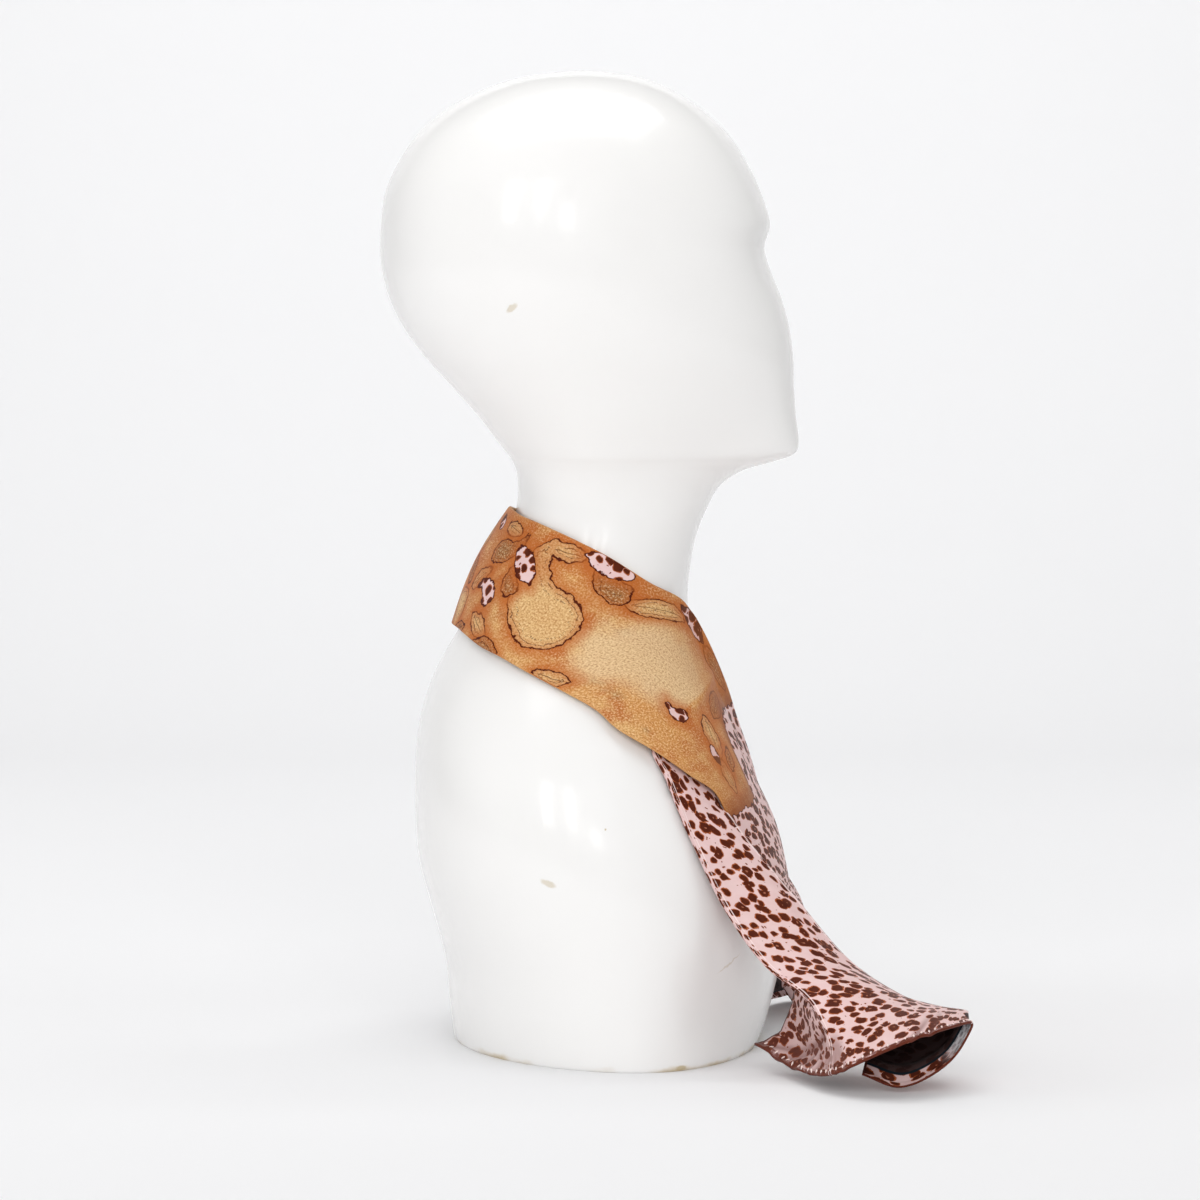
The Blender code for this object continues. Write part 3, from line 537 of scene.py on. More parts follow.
# Creases: on which tail or band, place along from the hem or the nape, place across from the outer fold,
# the same at the other end, width, height (a trough is negative)
CREASES = [
    ("right_hem", 38.0, -6.0, 0.0, -62.0, 3.0, -1.6),
    ("right_hem", 42.0, -5.0, 0.0, -47.0, 3.4, -2.0),
    ("right_hem", 44.0, -4.0, 0.0, -34.0, 3.0, -2.0),
    ("right_hem", 42.0, -3.0, 0.0, -24.0, 2.6, -1.8),
    ("right_hem", 40.0, -1.0, 0.0, -16.0, 2.4, -1.6),
    ("right_hem", 34.0, 1.0, 0.0, -10.0, 2.2, -1.2),
    ("right_hem", 31.0, 1.5, 0.0, -5.0, 1.7, -1.0),
    ("right_hem", 33.0, 2.5, 0.0, -1.0, 1.6, -1.0),
    ("right_hem", 30.0, 3.5, 0.0, 4.0, 1.8, -0.9),
    ("right_hem", 36.0, 4.0, 0.0, 10.0, 2.4, -0.8),
    ("right_hem", 60.0, 10.0, 6.0, 26.0, 5.0, -0.7),
    ("right_hem", 26.0, 58.0, 0.0, 50.0, 2.6, -0.8),
    ("right_hem", 30.0, 64.0, 0.0, 61.0, 2.2, -0.8),
    ("right_hem", 46.0, 40.0, 0.0, 52.0, 5.0, 0.6),
    ("right_hem", 190.0, 8.0, 110.0, 14.0, 5.0, -0.7),
    ("right_hem", 170.0, 30.0, 90.0, 34.0, 6.0, 0.5),
    ("left_hem", 34.0, 1.0, 0.0, -8.0, 2.0, -0.9),
    ("left_hem", 30.0, 2.0, 0.0, 0.0, 1.7, -0.9),
    ("left_hem", 36.0, 4.0, 0.0, 9.0, 2.4, -0.8),
    ("left_hem", 90.0, 30.0, 20.0, 24.0, 6.0, -0.7),
    ("right_nape", 176.0, 2.0, 178.0, 72.0, 2.6, 2.2),
    ("right_nape", 184.5, 6.0, 187.0, 68.0, 6.0, -0.5),
    ("right_nape", 205.0, 20.0, 236.0, 30.0, 4.0, -0.7),
    ("right_nape", 60.0, 6.0, 110.0, 12.0, 5.0, -0.5),
    ("right_nape", 10.0, 40.0, 60.0, 52.0, 7.0, -0.5),
    ("left_nape", 60.0, 8.0, 120.0, 14.0, 5.0, -0.6),
    ("left_nape", 14.0, 44.0, 76.0, 56.0, 7.0, -0.5),
    ("left_nape", 150.0, 20.0, 210.0, 30.0, 6.0, -0.5),
]
CREASE_FROM = {
    "right_hem": along_cut,
    "left_hem": cloth_length - along_cut,
    "right_nape": along_cut - nape_length,
    "left_nape": nape_length - along_cut,
}

# Away from the mouths the creases reach only a few columns of the side panels
CREASED_SIDE_COLUMNS = 14
# The creases raise the cloth; their troughs at the hems also get painted shade
raised, painted_gather_shade = np.zeros(along_cut.shape), np.zeros(along_cut.shape)
for stretch, first_along, first_across, last_along, last_across, width, height in CREASES:
    run_along, run_across = last_along - first_along, last_across - first_across
    length = math.hypot(run_along, run_across)
    offset_along, offset_across = CREASE_FROM[stretch] - first_along, from_outer_fold - first_across
    way = (offset_along * run_along + offset_across * run_across) / length**2
    aside = (offset_across * run_along - offset_along * run_across) / length
    at_hem = stretch.endswith("hem") and last_along == 0
    half_wave = way * (0.5 if at_hem else 1.0)
    taper = np.sin(np.pi * np.clip(half_wave, 0.0, 1.0)) ** 0.8 * (way <= 1.02)
    line = taper * np.exp(-((aside / width) ** 2))
    raised += height * line
    painted_gather_shade += line * (at_hem and height < 0)
from_centre = np.abs(column_number - len(column_number) / 2)
near_front = from_centre < FRONT_COLUMNS / 2 + CREASED_SIDE_COLUMNS
creased = near_front[None, :] | (from_hem < MOUTH_REACH)[:, None]

# Above the hem the inner panel is drawn in, so that its turned-in edge flares towards the mouth
DRAWN_IN = 4.5
DRAWN_PLACE = 14.0
DRAWN_REACH = 8.0
DRAWN_FADE = 12.0
drawn_at_hem = math.exp(-((DRAWN_PLACE / DRAWN_REACH) ** 2))
drawn = np.exp(-(((from_hem - DRAWN_PLACE) / DRAWN_REACH) ** 2)) - drawn_at_hem
drawn = np.maximum(drawn, 0.0)[:, None] * np.clip(from_inner_fold / DRAWN_FADE + 0.6, 0.0, 1.0)
raised = raised * creased - DRAWN_IN * drawn
cloth = cloth + grid_normals(cloth) * raised[:, :, None]
cloth = stand_off(cloth, BUST_CLEARANCE)
cloth[:, :, 2] = np.maximum(cloth[:, :, 2], FLOOR_CLEARANCE)

row_count, column_count = cloth.shape[:2]
bpy.ops.object.select_all(action="DESELECT")
bpy.ops.mesh.primitive_grid_add(x_subdivisions=column_count - 1, y_subdivisions=row_count - 1, size=1.0)
foulard = bpy.context.object
foulard.name = "foulard"
flat = np.array([vertex.co for vertex in foulard.data.vertices])
column = np.rint((flat[:, 0] + 0.5) * (column_count - 1)).astype(int)
row = np.rint((flat[:, 1] + 0.5) * (row_count - 1)).astype(int)
foulard.data.vertices.foreach_set("co", (cloth[row, column] * MM).ravel())
loop_vertex = np.empty(len(foulard.data.loops), dtype=np.int32)
foulard.data.loops.foreach_get("vertex_index", loop_vertex)
flat_place = np.stack([along_cut[row, column], across_cut[row, column]], axis=1) * MM
foulard.data.uv_layers[0].name = "cut"
foulard.data.uv_layers["cut"].uv.foreach_set("vector", flat_place[loop_vertex].ravel())
foulard.data.update()
bpy.ops.object.shade_smooth()

# The rolled hems are thicker than the cloth
hem_share = np.clip((HEM_WIDTH + 0.3 - from_hem[row]) / 0.5, 0.0, 1.0)
hem_group = foulard.vertex_groups.new(name="hem")
for vertex in np.flatnonzero(hem_share > 0):
    hem_group.add([int(vertex)], float(hem_share[vertex]), "REPLACE")
wall = foulard.modifiers.new("cloth_wall", "SOLIDIFY")
wall.thickness = HEM_THICKNESS * MM
wall.offset = 0.0
wall.vertex_group = "hem"
wall.thickness_vertex_group = CLOTH_THICKNESS / HEM_THICKNESS
wall.material_offset = 1
wall.material_offset_rim = 0

# A leaf's half width for its half length, the discs that draw a paisley and their step for its size, how far
# outside a motif its own rib still counts, and the distance that stands for far off
LEAF_WIDTH = 0.42
PAISLEY_DISCS = 12
PAISLEY_DISC_STEP = 0.26
MOTIF_RIM = 1.5
FAR_OFF = 30.0

# Motifs of the band's print: kind, distance from the nape (either way), distance from the upper fold,
# size, direction in degrees, curl in degrees
MOTIFS = {
    "light": [
        ("paisley", 90.0, 44.0, 17.5, 188.0, 105.0),
        ("leaf", 132.0, 14.0, 17.0, -10.0, 0.0),
        ("paisley", 16.0, 54.0, 8.5, 55.0, 110.0),
        ("leaf", 5.0, 18.0, 11.0, 78.0, 0.0),
        ("leaf", 112.0, 73.0, 11.0, 4.0, 0.0),
        ("leaf", 198.0, 60.0, 15.0, 32.0, 0.0),
        ("leaf", 78.0, 7.0, 12.0, -8.0, 0.0),
        ("leaf", 30.0, 37.0, 11.0, -42.0, 0.0),
        ("leaf", 50.0, 60.0, 12.0, 24.0, 0.0),
        ("leaf", 34.0, 7.0, 10.0, 8.0, 0.0),
        ("leaf", 220.0, 72.0, 12.0, 18.0, 0.0),
    ],
    "brown": [
        ("paisley", 36.0, 20.0, 7.5, 12.0, -115.0),
        ("leaf", 64.0, 70.0, 13.0, 4.0, 0.0),
        ("leaf", 188.0, 32.0, 13.0, 74.0, 0.0),
        ("paisley", 110.0, 14.0, 7.5, 172.0, 110.0),
        ("leaf", 12.0, 36.0, 9.0, 60.0, 0.0),
        ("leaf", 176.0, 6.0, 13.0, -4.0, 0.0),
        ("leaf", 3.0, 72.0, 9.0, 12.0, 0.0),
        ("leaf", 28.0, 66.0, 9.0, -20.0, 0.0),
        ("paisley", 60.0, 36.0, 5.5, 200.0, 110.0),
        ("leaf", 214.0, 58.0, 9.0, 48.0, 0.0),
    ],
    "pink": [
        ("paisley", 46.0, 44.0, 5.8, 250.0, -120.0),
        ("leaf", 60.0, 22.0, 14.0, 38.0, 0.0),
        ("leaf", 152.0, 5.0, 12.0, 5.0, 0.0),
        ("leaf", 100.0, 3.0, 14.0, -3.0, 0.0),
        ("paisley", 178.0, 71.0, 4.2, 120.0, 110.0),
        ("leaf", 15.0, 7.0, 6.0, 40.0, 0.0),
        ("leaf", 206.0, 70.0, 7.0, 25.0, 0.0),
    ],
}


def inside_leaf(along, across, length):
    """How far inside a pointed leaf a place is, in its own directions."""
    width = LEAF_WIDTH * length
    radius = (length**2 + width**2) / (2 * width)
    above = radius - np.hypot(along, across - (radius - width))
    below = radius - np.hypot(along, across + (radius - width))
    return np.minimum(above, below)


def inside_paisley(along, across, size, curl):
    """How far inside a drop with a curled tail a place is, in its own directions."""
    deepest = np.full(along.shape, -FAR_OFF)
    x, y, heading = 0.0, 0.0, 0.0
    for k in range(PAISLEY_DISCS + 1):
        radius = size * (1 - k / PAISLEY_DISCS) ** 0.8
        deepest = np.maximum(deepest, radius - np.hypot(along - x, across - y))
        heading += math.radians(curl) / PAISLEY_DISCS
        x += size * PAISLEY_DISC_STEP * math.cos(heading)
        y += size * PAISLEY_DISC_STEP * math.sin(heading)
    return deepest


def keep_layer(name, values):
    """Keeps a value at each of the cloth's points, for its materials to read."""
    layer = foulard.data.attributes.new(name, "FLOAT", "POINT")
    layer.data.foreach_set("value", np.asarray(values, np.float32))


from_nape = along_cut[row, column] - nape_length
from_fold = from_outer_fold[row, column]
rib = np.full(len(from_nape), FAR_OFF)
for fill, motifs in MOTIFS.items():
    inside = np.full(len(from_nape), -FAR_OFF)
    for kind, along, across, size, angle, curl in motifs:
        for side in (1, -1):
            x, y = side * from_nape - along, from_fold - across
            turn = math.radians(angle)
            own_along = x * math.cos(turn) + y * math.sin(turn)
            own_across = -x * math.sin(turn) + y * math.cos(turn)
            if kind == "leaf":
                depth = inside_leaf(own_along, own_across, size)
                rib = np.where(depth > -MOTIF_RIM, own_across, rib)
            else:
                depth = inside_paisley(own_along, own_across, size, curl)
                rib = np.where(depth > -MOTIF_RIM, FAR_OFF, rib)
            inside = np.maximum(inside, depth)
    keep_layer(fill + "_motif", inside)
keep_layer("leaf_rib", rib)

# Where the tan ends: distance from the outer fold, and from the nape either way
TAN_ENDS = [
    (-60.0, 190.0),
    (0.0, 196.0),
    (27.0, 194.0),
    (37.0, 202.0),
    (44.0, 212.0),
    (50.0, 230.0),
    (54.0, 241.0),
    (64.0, 243.0),
    (130.0, 236.0),
]
tan_end = np.interp(from_fold, *np.transpose(TAN_ENDS))
keep_layer("leopard_zone", np.abs(from_nape) - tan_end)

# Painted shade where the cloth is gathered at the hem: darker print in the troughs of its creases, and less
# over the whole of the lobe outside the outer fold, up to its top
LOBE_SHADE = 0.45
LOBE_EDGE = 6.0
LOBE_TOP = 50.0
LOBE_TOP_FADE = 16.0
lobe_height = np.clip((LOBE_TOP - from_hem) / LOBE_TOP_FADE, 0.0, 1.0)[:, None]
lobe = np.clip(-from_outer_fold / LOBE_EDGE, 0.0, 1.0) * lobe_height
painted_gather_shade = np.maximum(painted_gather_shade, LOBE_SHADE * lobe)
keep_layer("painted_gather_shade", np.minimum(painted_gather_shade[row, column], 1.0))

# The lightest part of the tan, up to the crease: its middle from the nape and from the upper fold, and how
# far it reaches along and across. It ends at the crease, so that the tan beyond is darker: partly print,
# partly painted shade of the fold.
GOLD_ALONG = 150.0
GOLD_ACROSS = 50.0
GOLD_HALF_LENGTH = 50.0
GOLD_HALF_WIDTH = 36.0
CREASE_PLACE = 178.0
gold_along = (np.abs(from_nape) - GOLD_ALONG) / GOLD_HALF_LENGTH
gold_across = (from_fold - GOLD_ACROSS) / GOLD_HALF_WIDTH
gold = (1.15 - np.hypot(gold_along, gold_across)) * (np.abs(from_nape) < CREASE_PLACE)
keep_layer("gold_area", np.maximum(gold, 0.0))
keep_layer("outer_fold", from_outer_fold[row, column])
keep_layer("inner_fold", from_inner_fold[row, column])


def cut_place(tree):
    """Place on the flat cut in millimetres: along it and across it."""
    place = add(tree, "UVMap", uv_map="cut")
    return vector_maths(tree, "MULTIPLY", place, (1 / MM, 1 / MM, 1 / MM))


def cut_distances(tree, place):
    """Distances along and across the cut, and to its nearest end and its nearest long edge."""
    along = add(tree, "SeparateXYZ", place)
    across = along.node.outputs[1]
    to_end = maths(tree, "MINIMUM", along, maths(tree, "SUBTRACT", cloth_length, along))
    to_edge = maths(tree, "MINIMUM", across, maths(tree, "SUBTRACT", CUT_WIDTH, across))
    return along, across, to_end, to_edge


def layer_value(tree, name):
    """A value kept at the cloth's points."""
    return add(tree, "Attribute", out=2, attribute_name=name)


def cells(tree, place, size, out=0):
    """Distance, in squares of a size, to the nearest of the points scattered one to each, or its colour."""
    return add(tree, "TexVoronoi", place, None, 1 / size, out=out, voronoi_dimensions="2D")


def spots(tree, place, size, smallest, spread):
    """1 in irregular spots, one for each square of a size, and 0 between them."""
    random = add(tree, "SeparateColor", cells(tree, place, size, out=1))
    reach = maths(tree, "MULTIPLY_ADD", random, spread, smallest)
    inside = maths(tree, "SUBTRACT", reach, cells(tree, place, size))
    return step(tree, inside, -0.02, 0.03)


SPOT_SPACING = 6.5


def leopard_print(tree, place):
    """Brown spots with a rust rim, the largest with a peach middle, and small dots, on pale pink."""
    uneven = wobbled(tree, place, 0.08, 7.0)
    uneven = wobbled(tree, uneven, 0.3, 2.6)
    ground = mixed(tree, noise(tree, place, 0.12, 3.0), colour(222, 186, 184), colour(234, 206, 204))
    rim = spots(tree, uneven, SPOT_SPACING, 0.27, 0.3)
    large = spots(tree, uneven, SPOT_SPACING, 0.19, 0.3)
    small = spots(tree, uneven, 3.4, -0.3, 0.53)
    small = times(tree, small, step(tree, cells(tree, uneven, SPOT_SPACING), 0.48, 0.54))
    rust = mixed(tree, noise(tree, place, 0.4, 3.0), colour(140, 66, 32), colour(190, 104, 58))
    dark = mixed(tree, noise(tree, place, 0.22, 3.0), colour(60, 20, 12), colour(104, 46, 26))
    middle = spots(tree, wobbled(tree, uneven, 0.4, 1.6), SPOT_SPACING, -0.25, 0.38)
    dark = mixed(tree, times(tree, middle, 0.6), dark, colour(196, 124, 96))
    printed = mixed(tree, rim, ground, rust)
    printed = mixed(tree, small, printed, mixed(tree, noise(tree, place, 0.5), dark, rust))
    return mixed(tree, large, printed, dark)


def tan_print(tree, place):
    """Mottled gold and brown, like stained paper, lightest in one broad area, with a fine grain."""
    broad = step(tree, noise(tree, place, 0.02, 4.0, 0.6), 0.4, 0.6)
    brown_share = step(tree, noise(tree, place, 0.045, 5.0, 0.65), 0.44, 0.64)
    gold = mixed(tree, broad, colour(216, 168, 108), colour(206, 144, 82))
    stained = mixed(tree, brown_share, gold, colour(188, 112, 58))
    olive_share = step(tree, noise(tree, place, 0.06, 3.0, 0.5), 0.58, 0.75)
    stained = mixed(tree, times(tree, olive_share, 0.7), stained, colour(160, 124, 84))
    gold_area = layer_value(tree, "gold_area")
    lightest = maths(tree, "MULTIPLY_ADD", noise(tree, place, 0.05, 4.0), 0.7, gold_area)
    # The light area ends at the crease: beyond it the tan is darker, partly print and partly painted shade
    lightest = times(tree, step(tree, lightest, 0.5, 1.0), step(tree, gold_area, 0.0, 0.1))
    stained = mixed(tree, times(tree, lightest, 0.85), stained, colour(224, 192, 148))
    return grained(tree, stained, place)


def grained(tree, paint, place):
    """Paint with fine light and dark flecks."""
    grain = noise(tree, place, 0.95, 2.0, 0.6)
    darker = add(tree, "MapRange", grain, 0.5, 0.68, 0.0, 0.6)
    lighter = add(tree, "MapRange", grain, 0.5, 0.34, 0.0, 0.6)
    paint = mixed(tree, darker, paint, colour(156, 92, 44))
    return mixed(tree, lighter, paint, colour(242, 216, 168))


def edge_shade(tree, depth, reach):
    """1 on an edge and less away from it on the inside, over a reach in millimetres."""
    near = add(tree, "MapRange", depth, 0.0, reach, 1.0, 0.0)
    return times(tree, near, step(tree, depth, -0.3, 0.3))


def drawn_line(tree, depth, width):
    """1 on the line where the depth is 0, of a width in millimetres."""
    away = maths(tree, "ABSOLUTE", depth)
    return step(tree, away, 0.75 * width, 0.35 * width)


printed_satin, tree, shader = new_finish(
    "printed_satin", Roughness=0.46, Specular_IOR_Level=0.08, Sheen_Weight=0.02, Sheen_Roughness=0.4
)
place = cut_place(tree)
leopard = leopard_print(tree, place)
band_print = tan_print(tree, place)
ragged = noise(tree, place, 0.2, 4.0, 0.55)
ragged = add(tree, "MapRange", ragged, 0.25, 0.75, -1.3, 1.3)
sepia = colour(80, 28, 14)
orange_brown = colour(184, 98, 42)
light_fill = mixed(tree, noise(tree, place, 0.05, 4.0), colour(224, 186, 130), colour(202, 150, 94))
brown_fill = mixed(tree, noise(tree, place, 0.07, 4.0), colour(168, 114, 68), colour(132, 80, 46))
fills = {
    "light": grained(tree, light_fill, place),
    "brown": grained(tree, brown_fill, place),
    "pink": leopard,
}
leaf_rib = layer_value(tree, "leaf_rib")
for name, fill in fills.items():
    depth = maths(tree, "ADD", layer_value(tree, name + "_motif"), ragged)
    outer_shade = edge_shade(tree, times(tree, depth, -1.0), 8.0)
    band_print = mixed(tree, times(tree, outer_shade, 0.8), band_print, orange_brown)
    band_print = mixed(tree, step(tree, depth, -0.12, 0.12), band_print, fill)
    if name != "pink":
        shade = times(tree, edge_shade(tree, depth, 5.0), 0.6)
        band_print = mixed(tree, shade, band_print, orange_brown)
        echo = drawn_line(tree, maths(tree, "SUBTRACT", depth, 2.6), 0.4)
        echo = times(tree, echo, step(tree, noise(tree, place, 0.25), 0.42, 0.5))
        rib = maths(tree, "ADD", leaf_rib, times(tree, ragged, 0.4))
        rib_line = times(tree, drawn_line(tree, rib, 0.45), step(tree, depth, 1.6, 2.2))
        dashes = times(tree, drawn_line(tree, maths(tree, "SUBTRACT", depth, 5.4), 0.8), 0.9)
        dashes = times(tree, dashes, step(tree, noise(tree, place, 1.1, 1.0), 0.54, 0.58))
        inner_lines = maths(tree, "MAXIMUM", maths(tree, "MAXIMUM", echo, rib_line), dashes)
        band_print = mixed(tree, times(tree, inner_lines, 0.75), band_print, sepia)
    band_print = mixed(tree, drawn_line(tree, depth, 0.75), band_print, sepia)
zone_depth = maths(tree, "ADD", layer_value(tree, "leopard_zone"), times(tree, ragged, 1.8))
tan_depth = times(tree, zone_depth, -1.0)
# Darker towards the leopard: over 12 mm the print's own brown rim, over 60 mm partly print and partly
# painted shade beyond the crease
for reach, strength, shade in ((60.0, 0.55, colour(176, 108, 56)), (12.0, 0.85, colour(140, 72, 34))):
    tan_rim_and_shade = times(tree, edge_shade(tree, tan_depth, reach), strength)
    band_print = mixed(tree, tan_rim_and_shade, band_print, shade)
outside = mixed(tree, step(tree, zone_depth, -0.15, 0.15), band_print, leopard)
outside = mixed(tree, drawn_line(tree, zone_depth, 0.7), outside, sepia)
_, _, to_end, to_edge = cut_distances(tree, place)
dark_rim = maths(tree, "MAXIMUM", step(tree, to_edge, 0.9, 0.5), step(tree, to_end, 0.8, 0.5))
outside = mixed(tree, dark_rim, outside, colour(84, 36, 26))
# Painted shade over the rolled hems, in patches
hem_patches = step(tree, noise(tree, place, 0.35, 3.0), 0.3, 0.5)
hem_roll_shade = times(tree, step(tree, to_end, HEM_WIDTH + 0.4, HEM_WIDTH - 0.2), hem_patches)
outside = mixed(tree, times(tree, hem_roll_shade, 0.85), outside, colour(104, 50, 36))
# Painted shade: darker print in the gathers at the hems and over the lobe
gather_shade_share = times(tree, layer_value(tree, "painted_gather_shade"), 0.7)
outside = mixed(tree, gather_shade_share, outside, colour(104, 56, 46))
# Pale lines along the folds, partly wear of the print and partly a painted highlight where the folds catch
# the
# light: which fold, how far outside it, width
FOLD_WEAR_AND_HIGHLIGHT_LINES = [("outer_fold", -1.0, 0.5), ("outer_fold", 1.0, 0.5), ("inner_fold", 0.9, 1.2)]
fold_wear_and_highlight = 0.0
for fold, offset, width in FOLD_WEAR_AND_HIGHLIGHT_LINES:
    fold_line_wear_and_highlight = drawn_line(tree, maths(tree, "ADD", layer_value(tree, fold), offset), width)
    fold_wear_and_highlight = maths(tree, "MAXIMUM", fold_wear_and_highlight, fold_line_wear_and_highlight)
fold_wear_and_highlight = times(tree, fold_wear_and_highlight, step(tree, noise(tree, place, 0.12, 3.0), 0.36, 0.5))
fold_wear_and_highlight = times(tree, fold_wear_and_highlight, step(tree, zone_depth, 4.0, 10.0))
outside = mixed(tree, times(tree, fold_wear_and_highlight, 0.8), outside, colour(246, 224, 222))
tree.links.new(outside, shader.inputs["Base Color"])
threads = vector_maths(tree, "DOT_PRODUCT", place, (8.0, 5.5, 0.0))
twill = maths(tree, "SINE", threads)
slubs = noise(tree, place, 0.8, 4.0, 0.6)
relief = maths(tree, "MULTIPLY_ADD", slubs, 0.8, times(tree, twill, 0.3))
weave = add(tree, "Bump", 0.12, 0.0002, None, relief)
tree.links.new(weave, shader.inputs["Normal"])
sheen_change = add(tree, "MapRange", noise(tree, place, 0.06, 3.0), 0.3, 0.7, 0.36, 0.5)
tree.links.new(sheen_change, shader.inputs["Roughness"])

# The wrong side is painted dark, as shade inside the mouths. Inside each mouth the turned-in allowance shows
# the print, with a checked pale strip across a part of its width painted as light where it is lit, and a
# dark line where it ends, a painted shadow edge.
ALLOWANCE = 8.5
ALLOWANCE_SHADOW_LINE = 9.2
LIT_PALE_STRIP = (142.0, 145.0, 172.0, 184.0)
satin_back, tree, shader = new_finish(
    "satin_back", Roughness=0.65, Specular_IOR_Level=0.15, Sheen_Weight=0.03
)
place = cut_place(tree)
along, across, to_end, to_edge = cut_distances(tree, place)
shadow_print = leopard_print(tree, place)
# Painted shade: the wrong side, seen only inside the mouths, is dark
shaded_wrong_side = mixed(tree, noise(tree, place, 0.2, 3.0), colour(34, 18, 18), colour(64, 44, 42))
shaded_wrong_side = mixed(tree, 0.04, shaded_wrong_side, shadow_print)
allowance = step(tree, to_end, ALLOWANCE + 0.2, ALLOWANCE)
# Painted light: a pale checked strip on the lit part of the allowance
strip_start, strip_full, strip_fades, strip_end = LIT_PALE_STRIP
lit_strip_share = step(tree, across, strip_start, strip_full)
lit_strip_share = times(tree, lit_strip_share, step(tree, across, strip_end, strip_fades))
check_rows = maths(tree, "SINE", times(tree, along, 1.7))
checks = times(tree, check_rows, maths(tree, "SINE", across))
checked = mixed(tree, step(tree, checks, -0.1, 0.3), colour(206, 211, 215), colour(150, 152, 156))
turned_in = mixed(tree, times(tree, lit_strip_share, 0.8), shadow_print, checked)
inside = mixed(tree, allowance, shaded_wrong_side, turned_in)
# Painted shadow edge: a dark line where the allowance ends
allowance_shadow_line = drawn_line(tree, maths(tree, "SUBTRACT", to_end, ALLOWANCE_SHADOW_LINE), 1.4)
inside = mixed(tree, allowance_shadow_line, inside, colour(18, 34, 42))
inside = mixed(tree, step(tree, to_edge, 1.3, 0.9), inside, colour(96, 46, 36))
tree.links.new(inside, shader.inputs["Base Color"])
back_relief = add(tree, "Bump", 0.15, 0.0002, None, noise(tree, place, 0.9, 4.0, 0.6))
tree.links.new(back_relief, shader.inputs["Normal"])

foulard.data.materials.append(printed_satin)
foulard.data.materials.append(satin_back)
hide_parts("band_right", "band_left", "tail_right", "tail_left")
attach(foulard, "root")

# The stitches of the hems
# Short pale threads that hold each rolled hem down, sewn by hand every few millimetres from one long edge
# to the other, a little above the end of the cloth.
STITCH_PITCH = 4.5
STITCH_ROW = 7
STITCH_HALF_SIZE = (1.25, 0.5, 0.4)
STITCH_LIFT = 0.6
bpy.ops.object.select_all(action="DESELECT")
bpy.ops.mesh.primitive_uv_sphere_add(segments=8, ring_count=6, radius=1.0)
stitch = bpy.context.object
stitch.name = "hem_stitches"
stitch.scale = [half * MM for half in STITCH_HALF_SIZE]
bpy.ops.object.transform_apply(location=False, rotation=False, scale=True)
cloth_normals, cloth_ways = grid_normals(cloth), direction(cloth, 0)
stitches = []
for row_number in (STITCH_ROW, len(rows) - 1 - STITCH_ROW):
    for width_place in np.arange(STITCH_PITCH / 2, CUT_WIDTH, STITCH_PITCH):
        number = np.interp(width_place, across_cut[row_number], column_number)
        low = min(int(number), len(column_number) - 2)
        shares = np.array([1 - (number - low), number - low])[:, None]
        centre, normal, way = [
            np.sum(grid[row_number, low : low + 2] * shares, axis=0)
            for grid in (cloth, cloth_normals, cloth_ways)
        ]
        normal, way = Vector(normal).normalized(), Vector(way)
        aside = normal.cross(way).normalized()
        copy = stitch.copy()
        copy.data = stitch.data.copy()
        copy.matrix_world = Matrix((aside.cross(normal), aside, normal)).transposed().to_4x4()
        copy.location = (Vector(centre) + normal * STITCH_LIFT) * MM
        bpy.context.collection.objects.link(copy)
        stitches.append(copy)
bpy.data.objects.remove(stitch)
bpy.ops.object.select_all(action="DESELECT")
for copy in stitches:
    copy.select_set(True)
bpy.context.view_layer.objects.active = stitches[0]
bpy.ops.object.join()
bpy.ops.object.transform_apply(location=True, rotation=True, scale=True)
hem_stitches = bpy.context.object
hem_stitches.name = "hem_stitches"
bpy.ops.object.shade_smooth()
pale_thread, tree, shader = new_finish(
    "pale_thread", Roughness=0.7, Specular_IOR_Level=0.2, Sheen_Weight=0.1
)
place = add(tree, "TexCoord", out=3)
thread = mixed(tree, noise(tree, place, 160.0, 2.0), colour(236, 206, 200), colour(248, 234, 228))
tree.links.new(thread, shader.inputs["Base Color"])
twist = add(tree, "Bump", 0.3, 0.0001, None, noise(tree, place, 2600.0, 2.0))
tree.links.new(twist, shader.inputs["Normal"])
hem_stitches.data.materials.append(pale_thread)
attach(hem_stitches, "root")

# The floor
# A plain pale sheet of matt paper, laid on a table under the object and turned up far behind it in one
# wide curve.
FLOOR_WIDTH = 6.0
FLOOR_LENGTH = 8.0
FLOOR_NEAR_END = 3.5
SWEEP_RADIUS = 1.2
SWEEP_START = 1.6
bpy.ops.object.select_all(action="DESELECT")
bpy.ops.mesh.primitive_grid_add(x_subdivisions=2, y_subdivisions=120, size=1.0)
floor = bpy.context.object
floor.name = "floor"
places = np.array([vertex.co for vertex in floor.data.vertices])
run = (places[:, 1] + 0.5) * FLOOR_LENGTH - FLOOR_NEAR_END
turn = np.clip((run - SWEEP_START) / SWEEP_RADIUS, 0.0, np.pi / 2)
beyond = np.maximum(run - SWEEP_START - SWEEP_RADIUS * np.pi / 2, 0.0)
floor_y = np.minimum(run, SWEEP_START) + SWEEP_RADIUS * np.sin(turn)
floor_z = SWEEP_RADIUS * (1 - np.cos(turn)) + beyond
floor_points = np.stack([places[:, 0] * FLOOR_WIDTH, floor_y, floor_z], axis=1)
floor.data.vertices.foreach_set("co", floor_points.ravel())
floor.data.update()
bpy.ops.object.shade_smooth()
pale_paper, tree, shader = new_finish("pale_paper", Roughness=0.9, Specular_IOR_Level=0.1)
place = add(tree, "TexCoord", out=3)
paper = mixed(tree, noise(tree, place, 3.0, 2.0), colour(243, 243, 244), colour(244, 244, 245))
tree.links.new(paper, shader.inputs["Base Color"])
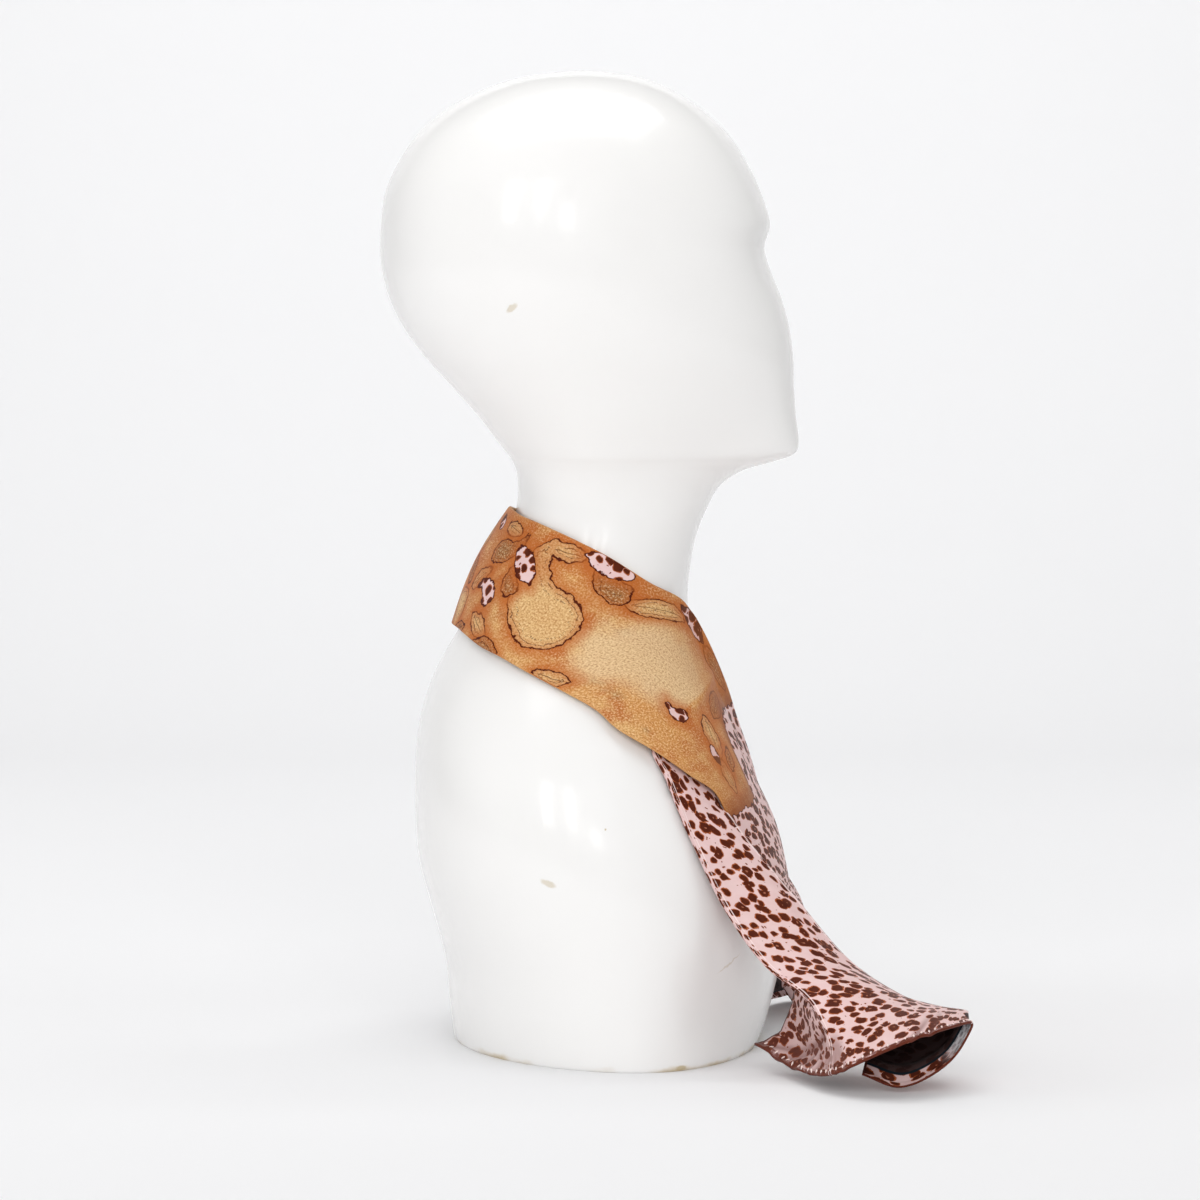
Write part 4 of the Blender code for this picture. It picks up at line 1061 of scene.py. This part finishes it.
floor.data.materials.append(pale_paper)

# The light and the camera
# Soft lamps above, in front and at both sides. The narrow ones give the gloss its upright streaks. The
# camera looks at the wearer's right side, a little from above.
SKY_STRENGTH = 0.3
CAMERA_LENS = 144.23
CAMERA_PLACE = (-0.0036, -2.4953, 0.3813)
CAMERA_AIM = (-0.0036, 0.0, 0.2287)


def softbox(name, place, aim, size, power, mirrored=True):
    """An oblong lamp at a place, turned to its aim, in metres and watts; mirrored if gloss shows it."""
    lamp = bpy.data.lights.new(name, "AREA")
    lamp.shape = "RECTANGLE"
    lamp.size, lamp.size_y = size
    lamp.energy = power
    holder = bpy.data.objects.new(name, lamp)
    holder.visible_glossy = mirrored
    bpy.context.collection.objects.link(holder)
    holder.location = place
    way = Vector(aim) - Vector(place)
    holder.rotation_euler = way.to_track_quat("-Z", "Y").to_euler()


softbox("overhead_softbox", (0.0, -0.3, 2.3), (0.0, 0.0, 0.3), (2.4, 1.6), 18.0)
softbox("left_strip", (-1.25, -2.4, 1.45), (0.0, 0.0, 0.35), (0.36, 1.1), 4.5)
softbox("middle_strip", (-0.6, -2.9, 1.6), (0.0, 0.0, 0.35), (0.24, 1.1), 4.0)
softbox("centre_strip", (0.0, -3.2, 1.0), (0.0, 0.0, 0.35), (0.3, 0.5), 1.5)
softbox("front_softbox", (0.0, -3.3, 1.5), (0.0, 0.0, 0.3), (2.4, 2.0), 45.0, mirrored=False)
softbox("left_fill", (-2.4, -0.6, 0.7), (0.0, 0.0, 0.35), (1.2, 1.2), 9.0, mirrored=False)
softbox("right_fill", (2.4, -0.6, 0.7), (0.0, 0.0, 0.35), (1.2, 1.2), 5.0, mirrored=False)
softbox("backdrop_light", (0.0, 0.7, 2.6), (0.0, 2.9, 0.6), (2.4, 0.6), 31.0)
sky = bpy.data.worlds.new("studio")
sky.use_nodes = True
sky_light = sky.node_tree.nodes["Background"]
sky_light.inputs[0].default_value = (1.0, 1.0, 1.0, 1.0)
sky_light.inputs[1].default_value = SKY_STRENGTH
bpy.context.scene.world = sky
bpy.context.scene.view_settings.view_transform = "Standard"

camera_data = bpy.data.cameras.new("camera")
camera_data.sensor_width = 36.0
camera_data.lens = CAMERA_LENS
camera = bpy.data.objects.new("camera", camera_data)
bpy.context.collection.objects.link(camera)
camera.location = CAMERA_PLACE
look = Vector(CAMERA_AIM) - camera.location
camera.rotation_euler = look.to_track_quat("-Z", "Y").to_euler()
bpy.context.scene.camera = camera
